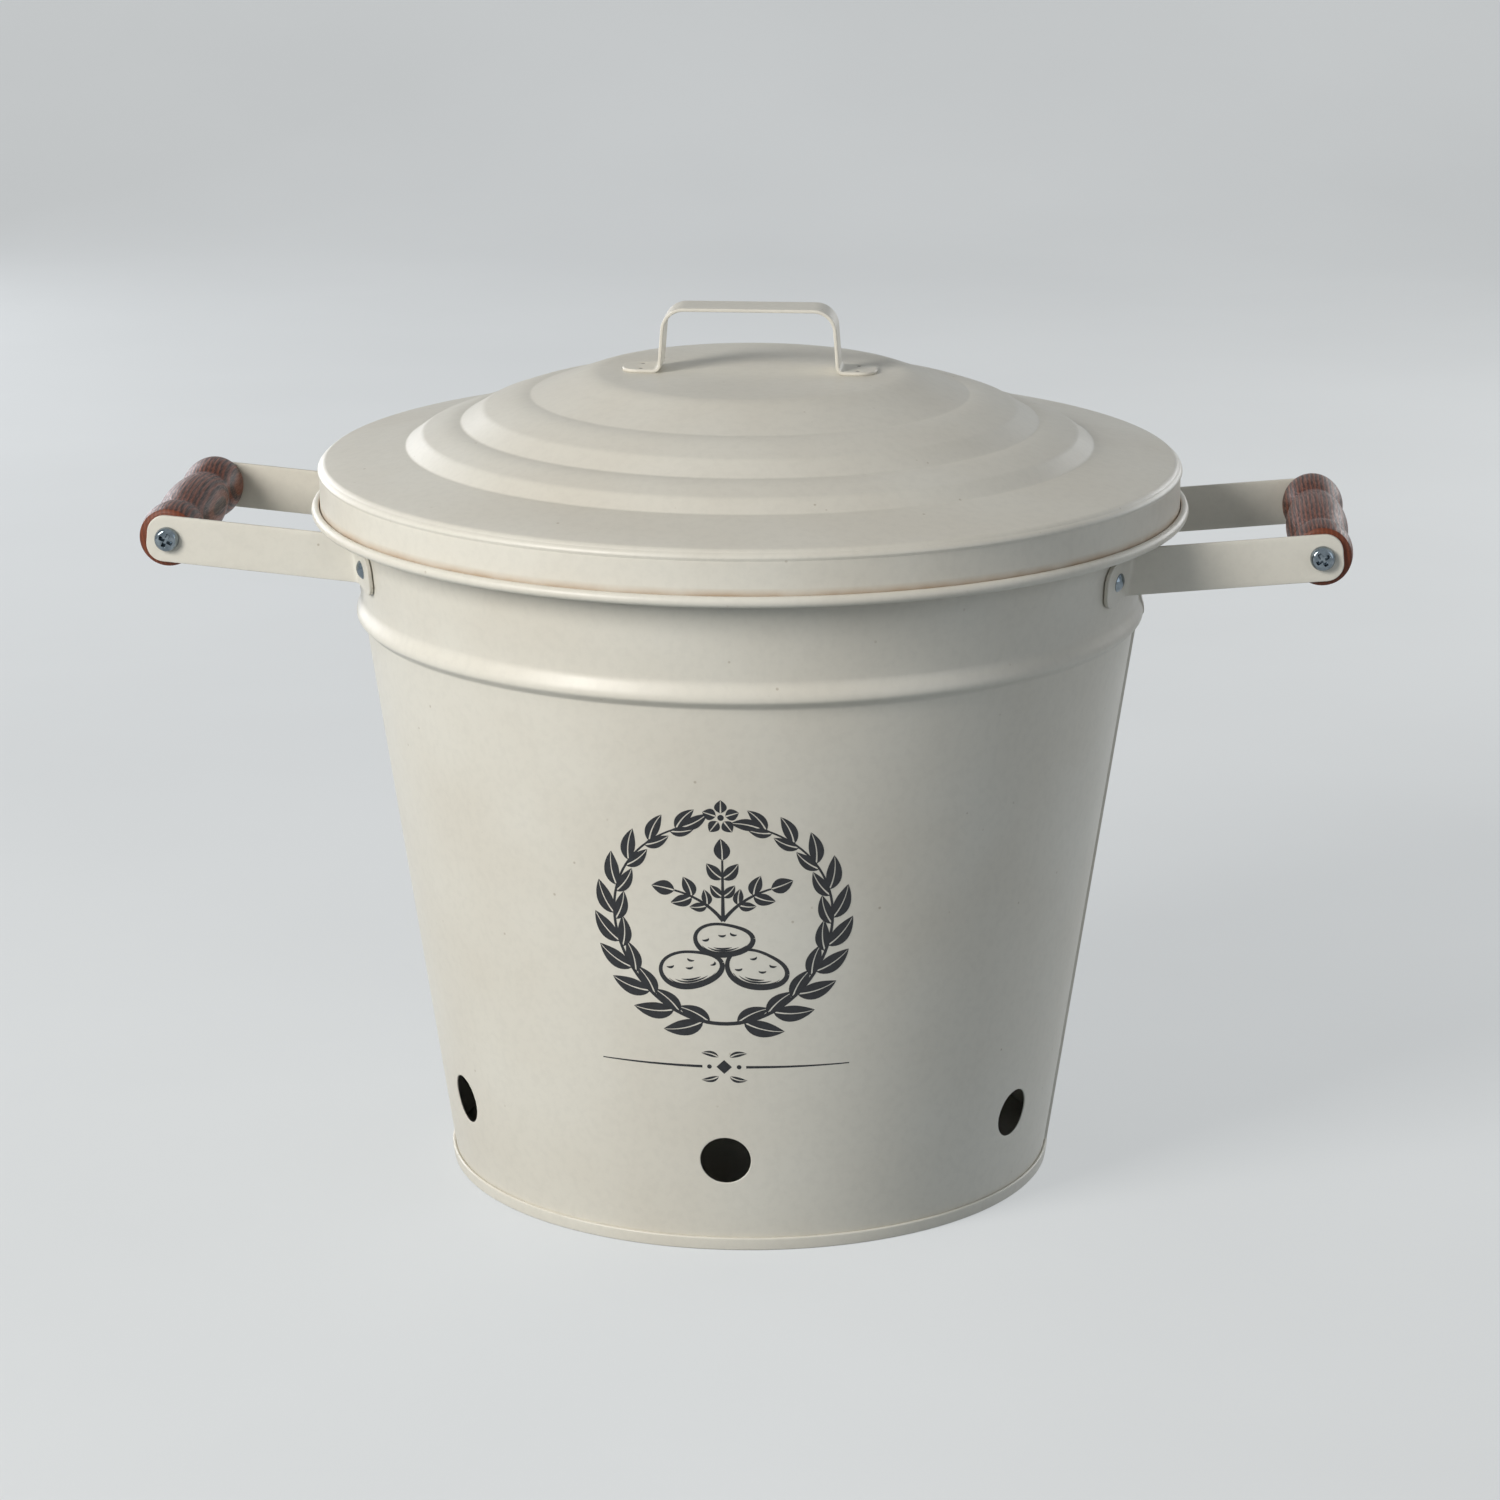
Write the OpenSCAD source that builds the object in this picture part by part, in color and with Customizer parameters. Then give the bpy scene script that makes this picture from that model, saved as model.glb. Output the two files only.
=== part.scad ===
// Tapered sheet-steel storage bin with a lift-off lid and two wood-gripped side handles.
// Millimetres, +Z up, origin at the centre of the base on the ground plane.
// The handles stand out along X, and the front of the bin faces -Y.

/* [Bin] */
// Diameter over the curled rim
rim_d = 291; // [280:1:300]
// Height to the top of the curled rim
bin_h = 251.3; // [240:0.1:262]
// Diameter of the wall, carried down to the ground
base_d = 209; // [200:1:216]
// Thickness of the steel sheet
sheet_t = 0.6; // [0.5:0.1:0.8]
// Radius of the rim bead's section
rim_bead_r = 2.6; // [2.4:0.1:3]

/* [Swage] */
// Height of the swage's lower edge
swage_z = 195.4; // [185:0.1:205]
// How far the swage stands out of the wall
swage_out = 2.6; // [1.5:0.1:3]
// Height of the steep lower flank
swage_low_h = 3.6; // [3:0.1:5]
// Height of the soft upper flank
swage_up_h = 6.8; // [5:0.1:9]

/* [Foot and seam] */
// Height of the folded bead at the foot of the wall
hem_h = 4.6; // [4:0.1:6]
// Thickness of that bead outside the wall
hem_t = 1.2; // [1:0.1:1.6]
// Height of the pressed floor above the ground
floor_z = 3.4; // [2.5:0.1:5]
// Width of the lock seam down the side
seam_w = 5.6; // [4:0.1:8]
// How far the lock seam stands out of the wall
seam_out = 1; // [0.6:0.1:1.4]

/* [Vents] */
// Number of vent holes round the bin
vent_n = 6; // [4:1:8]
// Diameter of a vent hole
vent_d = 17; // [10:0.5:20]
// Height of the vent holes' centres
vent_z = 33.5; // [25:0.5:50]

/* [Side handles] */
// Distance from the bin's axis to the grip's axis
grip_x = 195; // [188:1:205]
// Height of the grip's axis
grip_z = 229; // [226:0.5:231]
// Distance from the middle of the bin to the middle of a strap arm
arm_y = 45.8; // [40:0.2:52]
// Rise of the arms, in degrees
arm_tilt = 5.3; // [3:0.1:7]
// Width of the strap
strap_w = 16; // [14:0.5:18]
// Thickness of the strap
strap_t = 1.4; // [1.2:0.1:2]
// Inner radius of the bend between arm and foot
strap_bend_r = 1.8; // [1.2:0.1:3]
// Radius of the rounded corners at both ends of the strap
strap_corner_r = 6; // [4:0.5:7]
// Length of the arm beyond the grip's axis
arm_end = 7; // [6.4:0.1:8]
// Length of the foot beyond the rivet
foot_end = 9; // [7:0.1:10]
// Position of the rivets round the wall, in degrees from the handle's middle line
rivet_az = 23; // [22:0.2:25]

/* [Grips] */
// Largest diameter of the turned grip
grip_d = 21; // [19:0.5:23]
// Depth of the two grooves between its lobes
groove_depth = 2; // [1:0.1:2.4]
// Share of the grip's length taken by its middle lobe
middle_share = 0.53; // [0.4:0.01:0.6]
// Width of the turned chamfer at each end
grip_chamfer = 1; // [0.5:0.1:1.5]

/* [Fasteners] */
// Diameter of a grip screw's shank
screw_d = 4; // [3.5:0.1:4.5]
// Length of the shank that goes into the wood
screw_len = 22; // [16:1:28]
// Diameter of the screw's pan head
screw_head_d = 8.4; // [7.5:0.1:9.5]
// Height of the pan head
screw_head_h = 2.9; // [2.2:0.1:3.4]
// Diameter of a rivet's shank
rivet_d = 3.6; // [3.2:0.1:4.2]
// Diameter of the rivet's domed head
rivet_head_d = 6.4; // [6:0.1:8]
// Height of the domed head
rivet_head_h = 1.6; // [1.2:0.1:2]

/* [Lid] */
// Outer diameter of the lid's skirt
skirt_d = 296; // [294:1:300]
// Height of the skirt above the middle of its curled edge
skirt_h = 16.2; // [14:0.2:17]
// Radius of the lid bead's section
lid_bead_r = 1.8; // [1.6:0.1:2]
// Radius of the rounded corner between skirt and top
lid_corner_r = 3; // [2:0.2:4]
// Radius of the flat plate in the middle
plate_r = 51; // [46:1:54]
// Height of the flat plate above the middle of the curled edge
plate_h = 46; // [43:0.5:50]
// Height of the flat outer ring where the first step starts
ring_h = 21.2; // [20:0.2:23]

/* [Lid handle] */
// Distance of a leg's lower bend from the lid's axis
leg_foot_x = 30.7; // [28:0.1:33]
// Distance of a leg's upper end from the lid's axis, before rounding
leg_top_x = 29; // [26:0.1:31]
// Height of the handle's upper face above the plate
lid_handle_h = 22.5; // [18:0.5:28]
// Width of the handle's strap
lid_strap_w = 16; // [14:0.5:18]
// Thickness of the handle's strap
lid_strap_t = 1.2; // [1:0.1:1.6]
// Length of a foot beyond the leg
lid_foot_len = 13; // [11:0.5:14]

/* [Hidden] */

$fn = 96;

// Clearances between pieces
seam_gap = 0.05;   // folded sheet against sheet, wire in its curl
seat_gap = 0.3;    // lid above the rim
run_gap = 0.1;     // grip end and screw head beside the strap arm
pin_gap = 0.08;    // screw shank in the arm's hole, on the radius
rivet_gap = 0.05;  // rivet shank in its holes, on the radius
foot_gap = 0.2;    // strap foot off the wall along its nearest line
lap = 0.05;        // straight and bent stretches of one sheet run into each other
seam_end_gap = 0.5;  // lock seam short of the foot bead and the rim bead
cut = 1;           // how far a cutting tool runs past what it cuts

// Steps of the curves that are drawn by formula
flank_steps = 6;
round_steps = 3;
lobe_steps = 8;
corner_steps = 6;
curl_steps = 20;
tread_steps = 4;

// Tapered wall: radius of its outer face at a height
bead_z = bin_h - rim_bead_r;
taper_guess = atan((rim_d / 2 - 2 * rim_bead_r + sheet_t - base_d / 2) / bead_z);
wall_top_r = rim_d / 2 - rim_bead_r - (rim_bead_r - sheet_t) / cos(taper_guess);
wall_slope = (wall_top_r - base_d / 2) / bead_z;
taper = atan(wall_slope);
bead_cr = rim_d / 2 - rim_bead_r;
rim_free_edge = 230;  // angle at which the curl's free edge stops, under the bead
function wall_r(z) = base_d / 2 + wall_slope * z;

// Swage: one cosine flank below its crest and a longer one above
swage_crest_z = swage_z + swage_low_h;
swage_top_z = swage_crest_z + swage_up_h;
function ease(u) = (1 - cos(180 * u)) / 2;
function swage(z) =
    z <= swage_z || z >= swage_top_z ? 0
    : z < swage_crest_z ? swage_out * ease((z - swage_z) / swage_low_h)
    : swage_out * ease((swage_top_z - z) / swage_up_h);
swage_heights = concat(
    [for (i = [0:flank_steps]) swage_z + swage_low_h * i / flank_steps],
    [for (i = [1:flank_steps + 2]) swage_crest_z + swage_up_h * i / (flank_steps + 2)]);

// Outward direction from an azimuth and a rise
function dir(az, rise) = [cos(az) * cos(rise), sin(az) * cos(rise), sin(rise)];
function unit(v) = v / norm(v);
// Radius of the ball whose cap has a given diameter and height
function ball_radius(d, h) = (d * d / 4 + h * h) / (2 * h);

// Strap foot: a flat leaf, tangent to the tapered wall along one line, at the rivet
foot_n = dir(rivet_az, -taper);
foot_ref_z = grip_z - 10;
foot_ref = [wall_r(foot_ref_z) * cos(rivet_az), wall_r(foot_ref_z) * sin(rivet_az), foot_ref_z]
    + foot_n * (foot_gap + strap_t / 2);
// Fold line: where the leaf's middle plane meets the arm's
fold_dir = unit(cross(foot_n, [0, 1, 0]));
fold_lean = atan2(fold_dir.x, fold_dir.z);
fold_x = (foot_n * foot_ref - foot_n.y * arm_y - foot_n.z * (grip_z - grip_x * tan(arm_tilt)))
    / (foot_n.x + foot_n.z * tan(arm_tilt));
fold_z = grip_z + (fold_x - grip_x) * tan(arm_tilt);
fold_pt = [fold_x, arm_y, fold_z];
// The strap crosses the fold line aslant, so the foot drops below the arm
strap_skew = arm_tilt + fold_lean;
strap_bend = acos(foot_n.y);
strap_mid_r = strap_bend_r + strap_t / 2;
strap_trim = strap_mid_r * tan(strap_bend / 2);
foot_dir = cos(strap_skew) * cross(fold_dir, foot_n) - sin(strap_skew) * fold_dir;
wall_tangent = dir(rivet_az + 90, 0);
foot_len = ((foot_ref - fold_pt) * wall_tangent) / (foot_dir * wall_tangent);
arm_len = (grip_x - fold_x) / cos(arm_tilt);
rivet_pt = fold_pt + foot_dir * foot_len - foot_n * (foot_gap + strap_t / 2);

// Grip: its ends stand just clear of the arms
grip_len = 2 * (arm_y - strap_t / 2 - run_gap);
grip_r = grip_d / 2;
screw_tip_r = 0.3;

// Lid: three pressed steps, each with the radius of its foot, its width and its rise
skirt_r = skirt_d / 2;
step_foot_r = [119, 100, 76];
step_w = [7.5, 9.5, 13];
step_rise = [4.7, 5.2, 4.5];
ring_r = step_foot_r[0];
ring_slope = (ring_h - skirt_h) / (skirt_r - ring_r);
tread_w = ring_r - plate_r - step_w[0] - step_w[1] - step_w[2];
tread_slope = (plate_h - ring_h - step_rise[0] - step_rise[1] - step_rise[2]) / tread_w;
// Height of the middle of its curled edge, with the outer ring just above the rim
lid_z = bin_h + seat_gap + sheet_t * norm([1, ring_slope])
    - skirt_h - ring_slope * (skirt_r - bead_cr);
lid_bead_cr = skirt_r - sheet_t + lid_bead_r;
lid_free_edge = 112;  // angle at which the lid curl's free edge stops, beside the skirt
plate_z = lid_z + plate_h;
// Dimples left by the spot welds in the lid handle's feet
weld_d = 3;
weld_depth = 0.35;
weld_y = 4.6;

// Slopes of the lid's face at the foot and at the top of a step
valley_slope = 0.06;
crest_slope = 0.34;
// Lengths, along the radius, over which a step is rounded at its foot and at its crest
foot_round = 1.2;
crest_round = 2;
// Height of the face at the foot of each step
function foot_h(i) = i == 0 ? ring_h
    : foot_h(i - 1) + step_rise[i - 1]
        + tread_slope * (step_foot_r[i - 1] - step_w[i - 1] - step_foot_r[i]);
// Smooth rise between two heights that leaves and meets them at given slopes
function blend(u, w, h0, h1, s0, s1) =
    h0 * (2 * u * u * u - 3 * u * u + 1) + h1 * (3 * u * u - 2 * u * u * u)
    + w * s0 * (u * u * u - 2 * u * u + u) + w * s1 * (u * u * u - u * u);
// Slope of a step's straight flank between its two rounded ends
function flank_slope(i) =
    (step_rise[i] - foot_round * valley_slope / 2 - crest_round * crest_slope / 2)
    / (step_w[i] - foot_round / 2 - crest_round / 2);
// Height gained on a step, at a distance inward from its foot that lies on one of its rounded ends
function step_gain(i, x) =
    let (m = flank_slope(i), left = step_w[i] - x)
    x <= foot_round ? valley_slope * x + (m - valley_slope) * x * x / (2 * foot_round)
    : step_rise[i] - crest_slope * left - (m - crest_slope) * left * left / (2 * crest_round);
function step_bends(i) = concat(
    [for (k = [0:round_steps]) foot_round * k / round_steps],
    [for (k = [round_steps:-1:1]) step_w[i] - crest_round * k / round_steps]);
step_pts = [for (i = [0:2]) for (x = step_bends(i))
    [step_foot_r[i] - x, foot_h(i) + step_gain(i, x), i]];
tread_pts = [for (i = [0:2]) for (k = [0:tread_steps - 1])
    let (r0 = step_foot_r[i] - step_w[i],
         r1 = i < 2 ? step_foot_r[i + 1] : plate_r,
         h1 = i < 2 ? foot_h(i + 1) : plate_h,
         u = k / tread_steps)
    [r0 - (r0 - r1) * u,
     blend(u, r0 - r1, foot_h(i) + step_rise[i], h1, crest_slope, i < 2 ? valley_slope : 0), i]];
ring_pts = [for (i = [0:2])
    for (p = concat([for (s = step_pts) if (s[2] == i) s], [for (s = tread_pts) if (s[2] == i) s]))
    [p[0], p[1]]];

// Colours
cream = "#E4DECF";
bare_steel = "#B9BCBE";
zinc = "#AEB6BC";
wood = "#6B3A2A";

// Points along an arc, both ends included
function arc(c, r, from, to, steps) =
    [for (i = [0:steps]) let (a = from + (to - from) * i / steps) c + r * [cos(a), sin(a)]];
// Curled edge of a sheet: down its inner face to the free edge, and back up its outer face
function curl(c, r, from, to) =
    concat(arc(c, r - sheet_t, from, to, curl_steps), arc(c, r, to, from, curl_steps));
function reversed(pts) = [for (i = [len(pts) - 1:-1:0]) pts[i]];

// Wall sheet in section, from the foot up and round the curl at the rim
module wall_2d() {
    heights = concat([sheet_t + seam_gap], swage_heights);
    outer = [for (z = heights) [wall_r(z) + swage(z), z]];
    inner = [for (p = outer) p - [cos(taper), -sin(taper)] * sheet_t];
    polygon(concat(outer,
        curl([bead_cr, bead_z], rim_bead_r, 180 - taper, rim_free_edge - 360),
        reversed(inner)));
}

// Places its children on the wall's outer face: X points out, Z up along the wall
module on_wall(az, z) {
    rotate([0, 0, az])
        translate([wall_r(z), 0, z])
            rotate([0, taper, 0])
                children();
}

// Lock seam in section: the folded sheet lies over the wall and follows the swage
module seam_2d() {
    low = hem_h + seam_end_gap;
    top = bead_z - rim_bead_r - seam_end_gap;
    heights = concat([low], swage_heights, [top]);
    // The rolled seam is flattened a little where the swage crosses it
    over_swage = 0.75;
    polygon(concat(
        [for (z = heights) [wall_r(z) - sheet_t / 2 + swage(z), z]],
        reversed([for (z = heights) [wall_r(z) + seam_out + over_swage * swage(z), z]])));
}

module body_wall() {
    color(cream)
    difference() {
        union() {
            rotate_extrude() wall_2d();
            intersection() {
                rotate_extrude() seam_2d();
                translate([0, -seam_w / 2, 0]) cube([rim_d, seam_w, bin_h]);
            }
        }
        for (i = [0:vent_n - 1])
            on_wall(-90 + i * 360 / vent_n, vent_z)
                rotate([0, 90, 0]) cylinder(d = vent_d, h = 6 * cut, center = true);
        for (side = [0, 1]) for (end = [0, 1])
            mirror([side, 0, 0]) mirror([0, end, 0])
                at_rivet() cylinder(r = rivet_d / 2 + rivet_gap, h = 6 * cut, center = true);
    }
}

// Pressed floor; its edge turns down inside the wall, under it and up outside as a bead
module base_pan() {
    bead_r = hem_t / 2;
    mid_r = function(z) wall_r(z) + seam_gap + bead_r;
    flange_r = function(z) wall_r(z) - sheet_t / cos(taper) - seam_gap;
    color(cream)
    rotate_extrude() {
        translate([0, floor_z]) square([flange_r(floor_z), sheet_t]);
        polygon([[flange_r(0) - sheet_t, 0], [flange_r(0), 0],
            [flange_r(floor_z + sheet_t), floor_z + sheet_t],
            [flange_r(floor_z + sheet_t) - sheet_t, floor_z + sheet_t]]);
        translate([flange_r(0) - sheet_t, 0])
            square([mid_r(0) - flange_r(0) + sheet_t, sheet_t]);
        translate([mid_r(bead_r), bead_r]) circle(bead_r);
        translate([mid_r(hem_h - bead_r), hem_h - bead_r]) circle(bead_r);
        polygon([[mid_r(bead_r) - bead_r, bead_r], [mid_r(bead_r) + bead_r, bead_r],
            [mid_r(hem_h - bead_r) + bead_r, hem_h - bead_r],
            [mid_r(hem_h - bead_r) - bead_r, hem_h - bead_r]]);
    }
}

module rim_wire() {
    color(bare_steel)
    rotate_extrude() translate([bead_cr, bead_z]) circle(rim_bead_r - sheet_t - seam_gap);
}

// Flat leaf of strap in the fold line's frame: it leaves the bend and runs past its hole
module strap_leaf(length, past, angle, hole_r) {
    reach = 2 * strap_w;
    side_w = strap_w / 2 - strap_corner_r;
    straight = length + past - strap_corner_r;
    rotate([90, 0, 0])
        linear_extrude(strap_t, center = true)
            difference() {
                intersection() {
                    rotate(angle) union() {
                        translate([-strap_w, -strap_w / 2]) square([straight + strap_w, strap_w]);
                        translate([0, -side_w]) square([length + past, 2 * side_w]);
                        for (side = [-1, 1])
                            translate([straight, side * side_w]) circle(strap_corner_r);
                    }
                    translate([strap_trim - lap, -reach]) square([length + reach, 2 * reach]);
                }
                rotate(angle) translate([length, 0]) circle(hole_r);
            }
}

// Rear arm of the right handle: arm, aslant bend and foot, folded from one strap
module strap_arm() {
    color(cream)
    translate(fold_pt) rotate([0, fold_lean, 0]) {
        strap_leaf(arm_len, arm_end, strap_skew, screw_d / 2 + pin_gap);
        rotate([0, 0, 180 - strap_bend])
            strap_leaf(foot_len, foot_end, -strap_skew, rivet_d / 2 + rivet_gap);
        intersection() {
            translate([strap_trim, strap_mid_r, 0])
                rotate([0, 0, 270 - strap_bend])
                    rotate_extrude(angle = strap_bend)
                        translate([strap_bend_r, -strap_w]) square([strap_t, 2 * strap_w]);
            rotate([0, 0, 180 - strap_bend / 2]) rotate([0, strap_skew, 0])
                cube([strap_w, strap_w, strap_w], center = true);
        }
    }
}

// The four arms, rivets and screws are mirror images of the right rear ones
module place(right, rear) {
    mirror([right ? 0 : 1, 0, 0]) mirror([0, rear ? 0 : 1, 0]) children();
}

// Rivet's place: Z points out of the wall, zero on the wall's outer face
module at_rivet() {
    translate(rivet_pt) rotate([0, 0, rivet_az]) rotate([0, 90 + taper, 0]) children();
}

// Fastener head standing on z = 0: a short land round its edge and a crown over it
module head(d, h, land) {
    ball_r = ball_radius(d, h - land);
    intersection() {
        translate([0, 0, h - ball_r]) sphere(ball_r);
        cylinder(d = d, h = h + cut);
    }
}

// Set rivet: domed head on the strap's foot and an upset tail inside the wall
module rivet() {
    tail_d = 1.5 * rivet_d;
    tail_h = 1.6;
    land = 0.2;
    head_z = foot_gap + strap_t;
    tail_z = -sheet_t - seam_gap;
    color(zinc)
    at_rivet() {
        translate([0, 0, head_z]) head(rivet_head_d, rivet_head_h, land);
        translate([0, 0, tail_z - lap]) cylinder(d = rivet_d, h = head_z - tail_z + 2 * lap);
        translate([0, 0, tail_z]) mirror([0, 0, 1]) head(tail_d, tail_h, tail_h / 2);
    }
}

// Right grip: three turned lobes between two grooves, with a pilot hole in each end
module grip() {
    groove_r = grip_r - groove_depth;
    half = grip_len / 2;
    middle_half = grip_len * middle_share / 2;
    // Half of the outline from the middle to the end: half a lobe, then a whole one
    arch = function(u) 1 - (2 * u - 1) * (2 * u - 1);
    // The chamfer cuts the outer lobe off well before it would reach the groove's depth
    lobe_share = 0.78;
    middle = [for (i = [0:lobe_steps / 2]) let (u = 0.5 + i / lobe_steps)
        [groove_r + groove_depth * arch(u), middle_half * (2 * u - 1)]];
    outer = [for (i = [1:lobe_steps]) let (u = i / lobe_steps)
        [groove_r + groove_depth * arch(u * lobe_share),
         middle_half + (half - grip_chamfer - middle_half) * u]];
    tip = outer[lobe_steps - 1] + [-grip_chamfer, grip_chamfer];
    side = concat(middle, outer, [tip]);
    profile = concat([[0, half]], [for (i = [len(side) - 1:-1:1]) side[i]],
        [for (p = side) [p[0], -p[1]]], [[0, -half]]);
    color(wood)
    translate([grip_x, 0, grip_z]) rotate([90, 0, 0])
        difference() {
            rotate_extrude() polygon(profile);
            for (end = [0, 1]) mirror([0, 0, end])
                translate([0, 0, half - screw_len]) shank(screw_len + cut, seam_gap);
        }
}

// Shank of a wood screw with its blunt point, grown by a clearance
module shank(length, gap) {
    point_h = screw_d;
    cylinder(r1 = screw_tip_r + gap, r2 = screw_d / 2 + gap, h = point_h);
    translate([0, 0, point_h]) cylinder(r = screw_d / 2 + gap, h = length - point_h);
}

// Rear screw of the right grip: pan head outside the arm, point inwards
module screw() {
    through = strap_t + 2 * run_gap;
    point_z = grip_len / 2 - screw_len + seam_gap;
    land = 0.7;
    color(zinc)
    translate([grip_x, 0, grip_z]) rotate([-90, 0, 0]) {
        translate([0, 0, point_z]) shank(screw_len + through - seam_gap + lap, 0);
        translate([0, 0, grip_len / 2 + through]) head(screw_head_d, screw_head_h, land);
    }
}

// Lid sheet in section: plate, rings, rounded corner, skirt and the curl at its lower edge
module lid_2d() {
    lean = atan(ring_slope);
    corner_c = [skirt_r - lid_corner_r,
        skirt_h + lid_corner_r * (ring_slope - norm([1, ring_slope]))];
    // Face from the middle out to the skirt, a depth below the lid's outer face
    face = function(depth) concat(
        [[0, plate_h - depth], [plate_r, plate_h - depth]],
        reversed([for (p = ring_pts) p - [0, depth]]),
        arc(corner_c, lid_corner_r - depth, 90 - lean, 0, corner_steps));
    polygon(concat(face(0), curl([lid_bead_cr, 0], lid_bead_r, 180, lid_free_edge + 360),
        reversed(face(sheet_t))));
}

module lid_shell() {
    color(cream)
    translate([0, 0, lid_z]) rotate_extrude() lid_2d();
}

module lid_wire() {
    color(bare_steel)
    translate([0, 0, lid_z])
        rotate_extrude() translate([lid_bead_cr, 0]) circle(lid_bead_r - sheet_t - seam_gap);
}

// Strip of constant thickness bent along a path, its corners rounded to given middle radii
module bent_strip(path, radii, t) {
    last = len(path) - 1;
    heading = [for (i = [0:last - 1])
        atan2(path[i + 1].y - path[i].y, path[i + 1].x - path[i].x)];
    turn = [for (i = [0:last]) i == 0 || i == last ? 0 : heading[i] - heading[i - 1]];
    trim = [for (i = [0:last]) radii[i] * tan(abs(turn[i]) / 2)];
    for (i = [0:last - 1])
        translate(path[i]) rotate(heading[i]) translate([trim[i] - (i > 0 ? lap : 0), -t / 2])
            square([norm(path[i + 1] - path[i]) - trim[i] - trim[i + 1]
                + (i > 0 ? lap : 0) + (i < last - 1 ? lap : 0), t]);
    for (i = [1:last - 1]) {
        side = sign(turn[i]);
        start = path[i] - trim[i] * [cos(heading[i - 1]), sin(heading[i - 1])];
        // From the bend's middle towards the strip where it enters and leaves the bend
        enter = heading[i - 1] - side * 90;
        reach = 2 * (radii[i] + t);
        translate(start - radii[i] * [cos(enter), sin(enter)])
            intersection() {
                difference() {
                    circle(radii[i] + t / 2);
                    circle(radii[i] - t / 2);
                }
                polygon([[0, 0], for (k = [0:2]) let (a = enter + turn[i] * k / 2)
                    reach * [cos(a), sin(a)]]);
            }
    }
}

// Lid handle: a strap bent into a bridge, with round-ended feet spot-welded to the plate
module lid_handle() {
    top_r = 7.4;
    foot_r = 2.2;
    mid_h = lid_handle_h - lid_strap_t / 2;
    end_x = leg_foot_x + lid_foot_len;
    half_w = lid_strap_w / 2;
    corner_r = 6;
    weld_x = leg_foot_x + lid_foot_len / 2;
    ball_r = ball_radius(weld_d, weld_depth);
    color(cream)
    translate([0, 0, plate_z])
        difference() {
            intersection() {
                rotate([90, 0, 0])
                    linear_extrude(lid_strap_w, center = true)
                        bent_strip([[-end_x, lid_strap_t / 2], [-leg_foot_x, lid_strap_t / 2],
                            [-leg_top_x, mid_h], [leg_top_x, mid_h],
                            [leg_foot_x, lid_strap_t / 2], [end_x, lid_strap_t / 2]],
                            [0, foot_r, top_r, top_r, foot_r, 0], lid_strap_t);
                linear_extrude(2 * lid_handle_h) {
                    square([2 * (end_x - corner_r), lid_strap_w], center = true);
                    square([2 * end_x, lid_strap_w - 2 * corner_r], center = true);
                    for (x = [-1, 1]) for (y = [-1, 1])
                        translate([x * (end_x - corner_r), y * (half_w - corner_r)])
                            circle(corner_r);
                }
            }
            for (x = [-1, 1]) for (y = [-1, 1])
                translate([x * weld_x, y * weld_y, lid_strap_t - weld_depth + ball_r])
                    sphere(ball_r);
        }
}

body_wall();
base_pan();
rim_wire();
place(false, false) strap_arm();  // left_front_arm
place(false, true) strap_arm();  // left_rear_arm
place(true, false) strap_arm();  // right_front_arm
place(true, true) strap_arm();  // right_rear_arm
place(false, false) rivet();  // left_front_rivet
place(false, true) rivet();  // left_rear_rivet
place(true, false) rivet();  // right_front_rivet
place(true, true) rivet();  // right_rear_rivet
place(false, true) grip();  // left_grip
place(true, true) grip();  // right_grip
place(false, false) screw();  // left_front_screw
place(false, true) screw();  // left_rear_screw
place(true, false) screw();  // right_front_screw
place(true, true) screw();  // right_rear_screw
lid_shell();
lid_wire();
lid_handle();
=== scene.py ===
# Cream kitchen storage bin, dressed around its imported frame.
# Sizes are in millimetres and turned to metres where a mesh is made. The bin's front faces -Y.
import bmesh
import bpy
import math
from functools import partial
from math import asin, atan, atan2, cos, hypot, pi, radians, sin, sqrt, tan
from mathutils import Matrix, Vector


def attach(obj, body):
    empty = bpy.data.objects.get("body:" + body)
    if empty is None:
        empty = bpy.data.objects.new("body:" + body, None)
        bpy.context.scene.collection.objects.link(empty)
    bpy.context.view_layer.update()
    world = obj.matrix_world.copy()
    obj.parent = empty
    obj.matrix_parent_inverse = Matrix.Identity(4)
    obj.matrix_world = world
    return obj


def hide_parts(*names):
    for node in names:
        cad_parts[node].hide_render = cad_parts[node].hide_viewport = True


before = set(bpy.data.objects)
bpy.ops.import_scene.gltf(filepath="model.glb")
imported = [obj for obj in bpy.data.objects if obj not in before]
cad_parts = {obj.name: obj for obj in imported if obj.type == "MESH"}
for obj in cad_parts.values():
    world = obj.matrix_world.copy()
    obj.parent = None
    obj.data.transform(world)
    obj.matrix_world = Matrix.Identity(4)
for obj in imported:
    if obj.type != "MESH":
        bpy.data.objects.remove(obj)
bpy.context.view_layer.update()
mm = 0.001
roundSteps = 288  # faces round the bin and its lid


def linearColour(hexText):
    # sRGB hex to the linear values that the shader wants
    channels = [int(hexText[i:i + 2], 16) / 255 for i in (1, 3, 5)]
    return [c / 12.92 if c <= 0.04045 else ((c + 0.055) / 1.055) ** 2.4 for c in channels] + [1]


def feed(node, inputs):
    # Fills a node's sockets; a node or a socket among the values becomes a link
    for name, value in inputs.items():
        if isinstance(value, bpy.types.Node):
            value = next(out for out in value.outputs if out.enabled)
        if isinstance(value, bpy.types.NodeSocket):
            node.id_data.links.new(value, node.inputs[name])
        else:
            node.inputs[name].default_value = value


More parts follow.
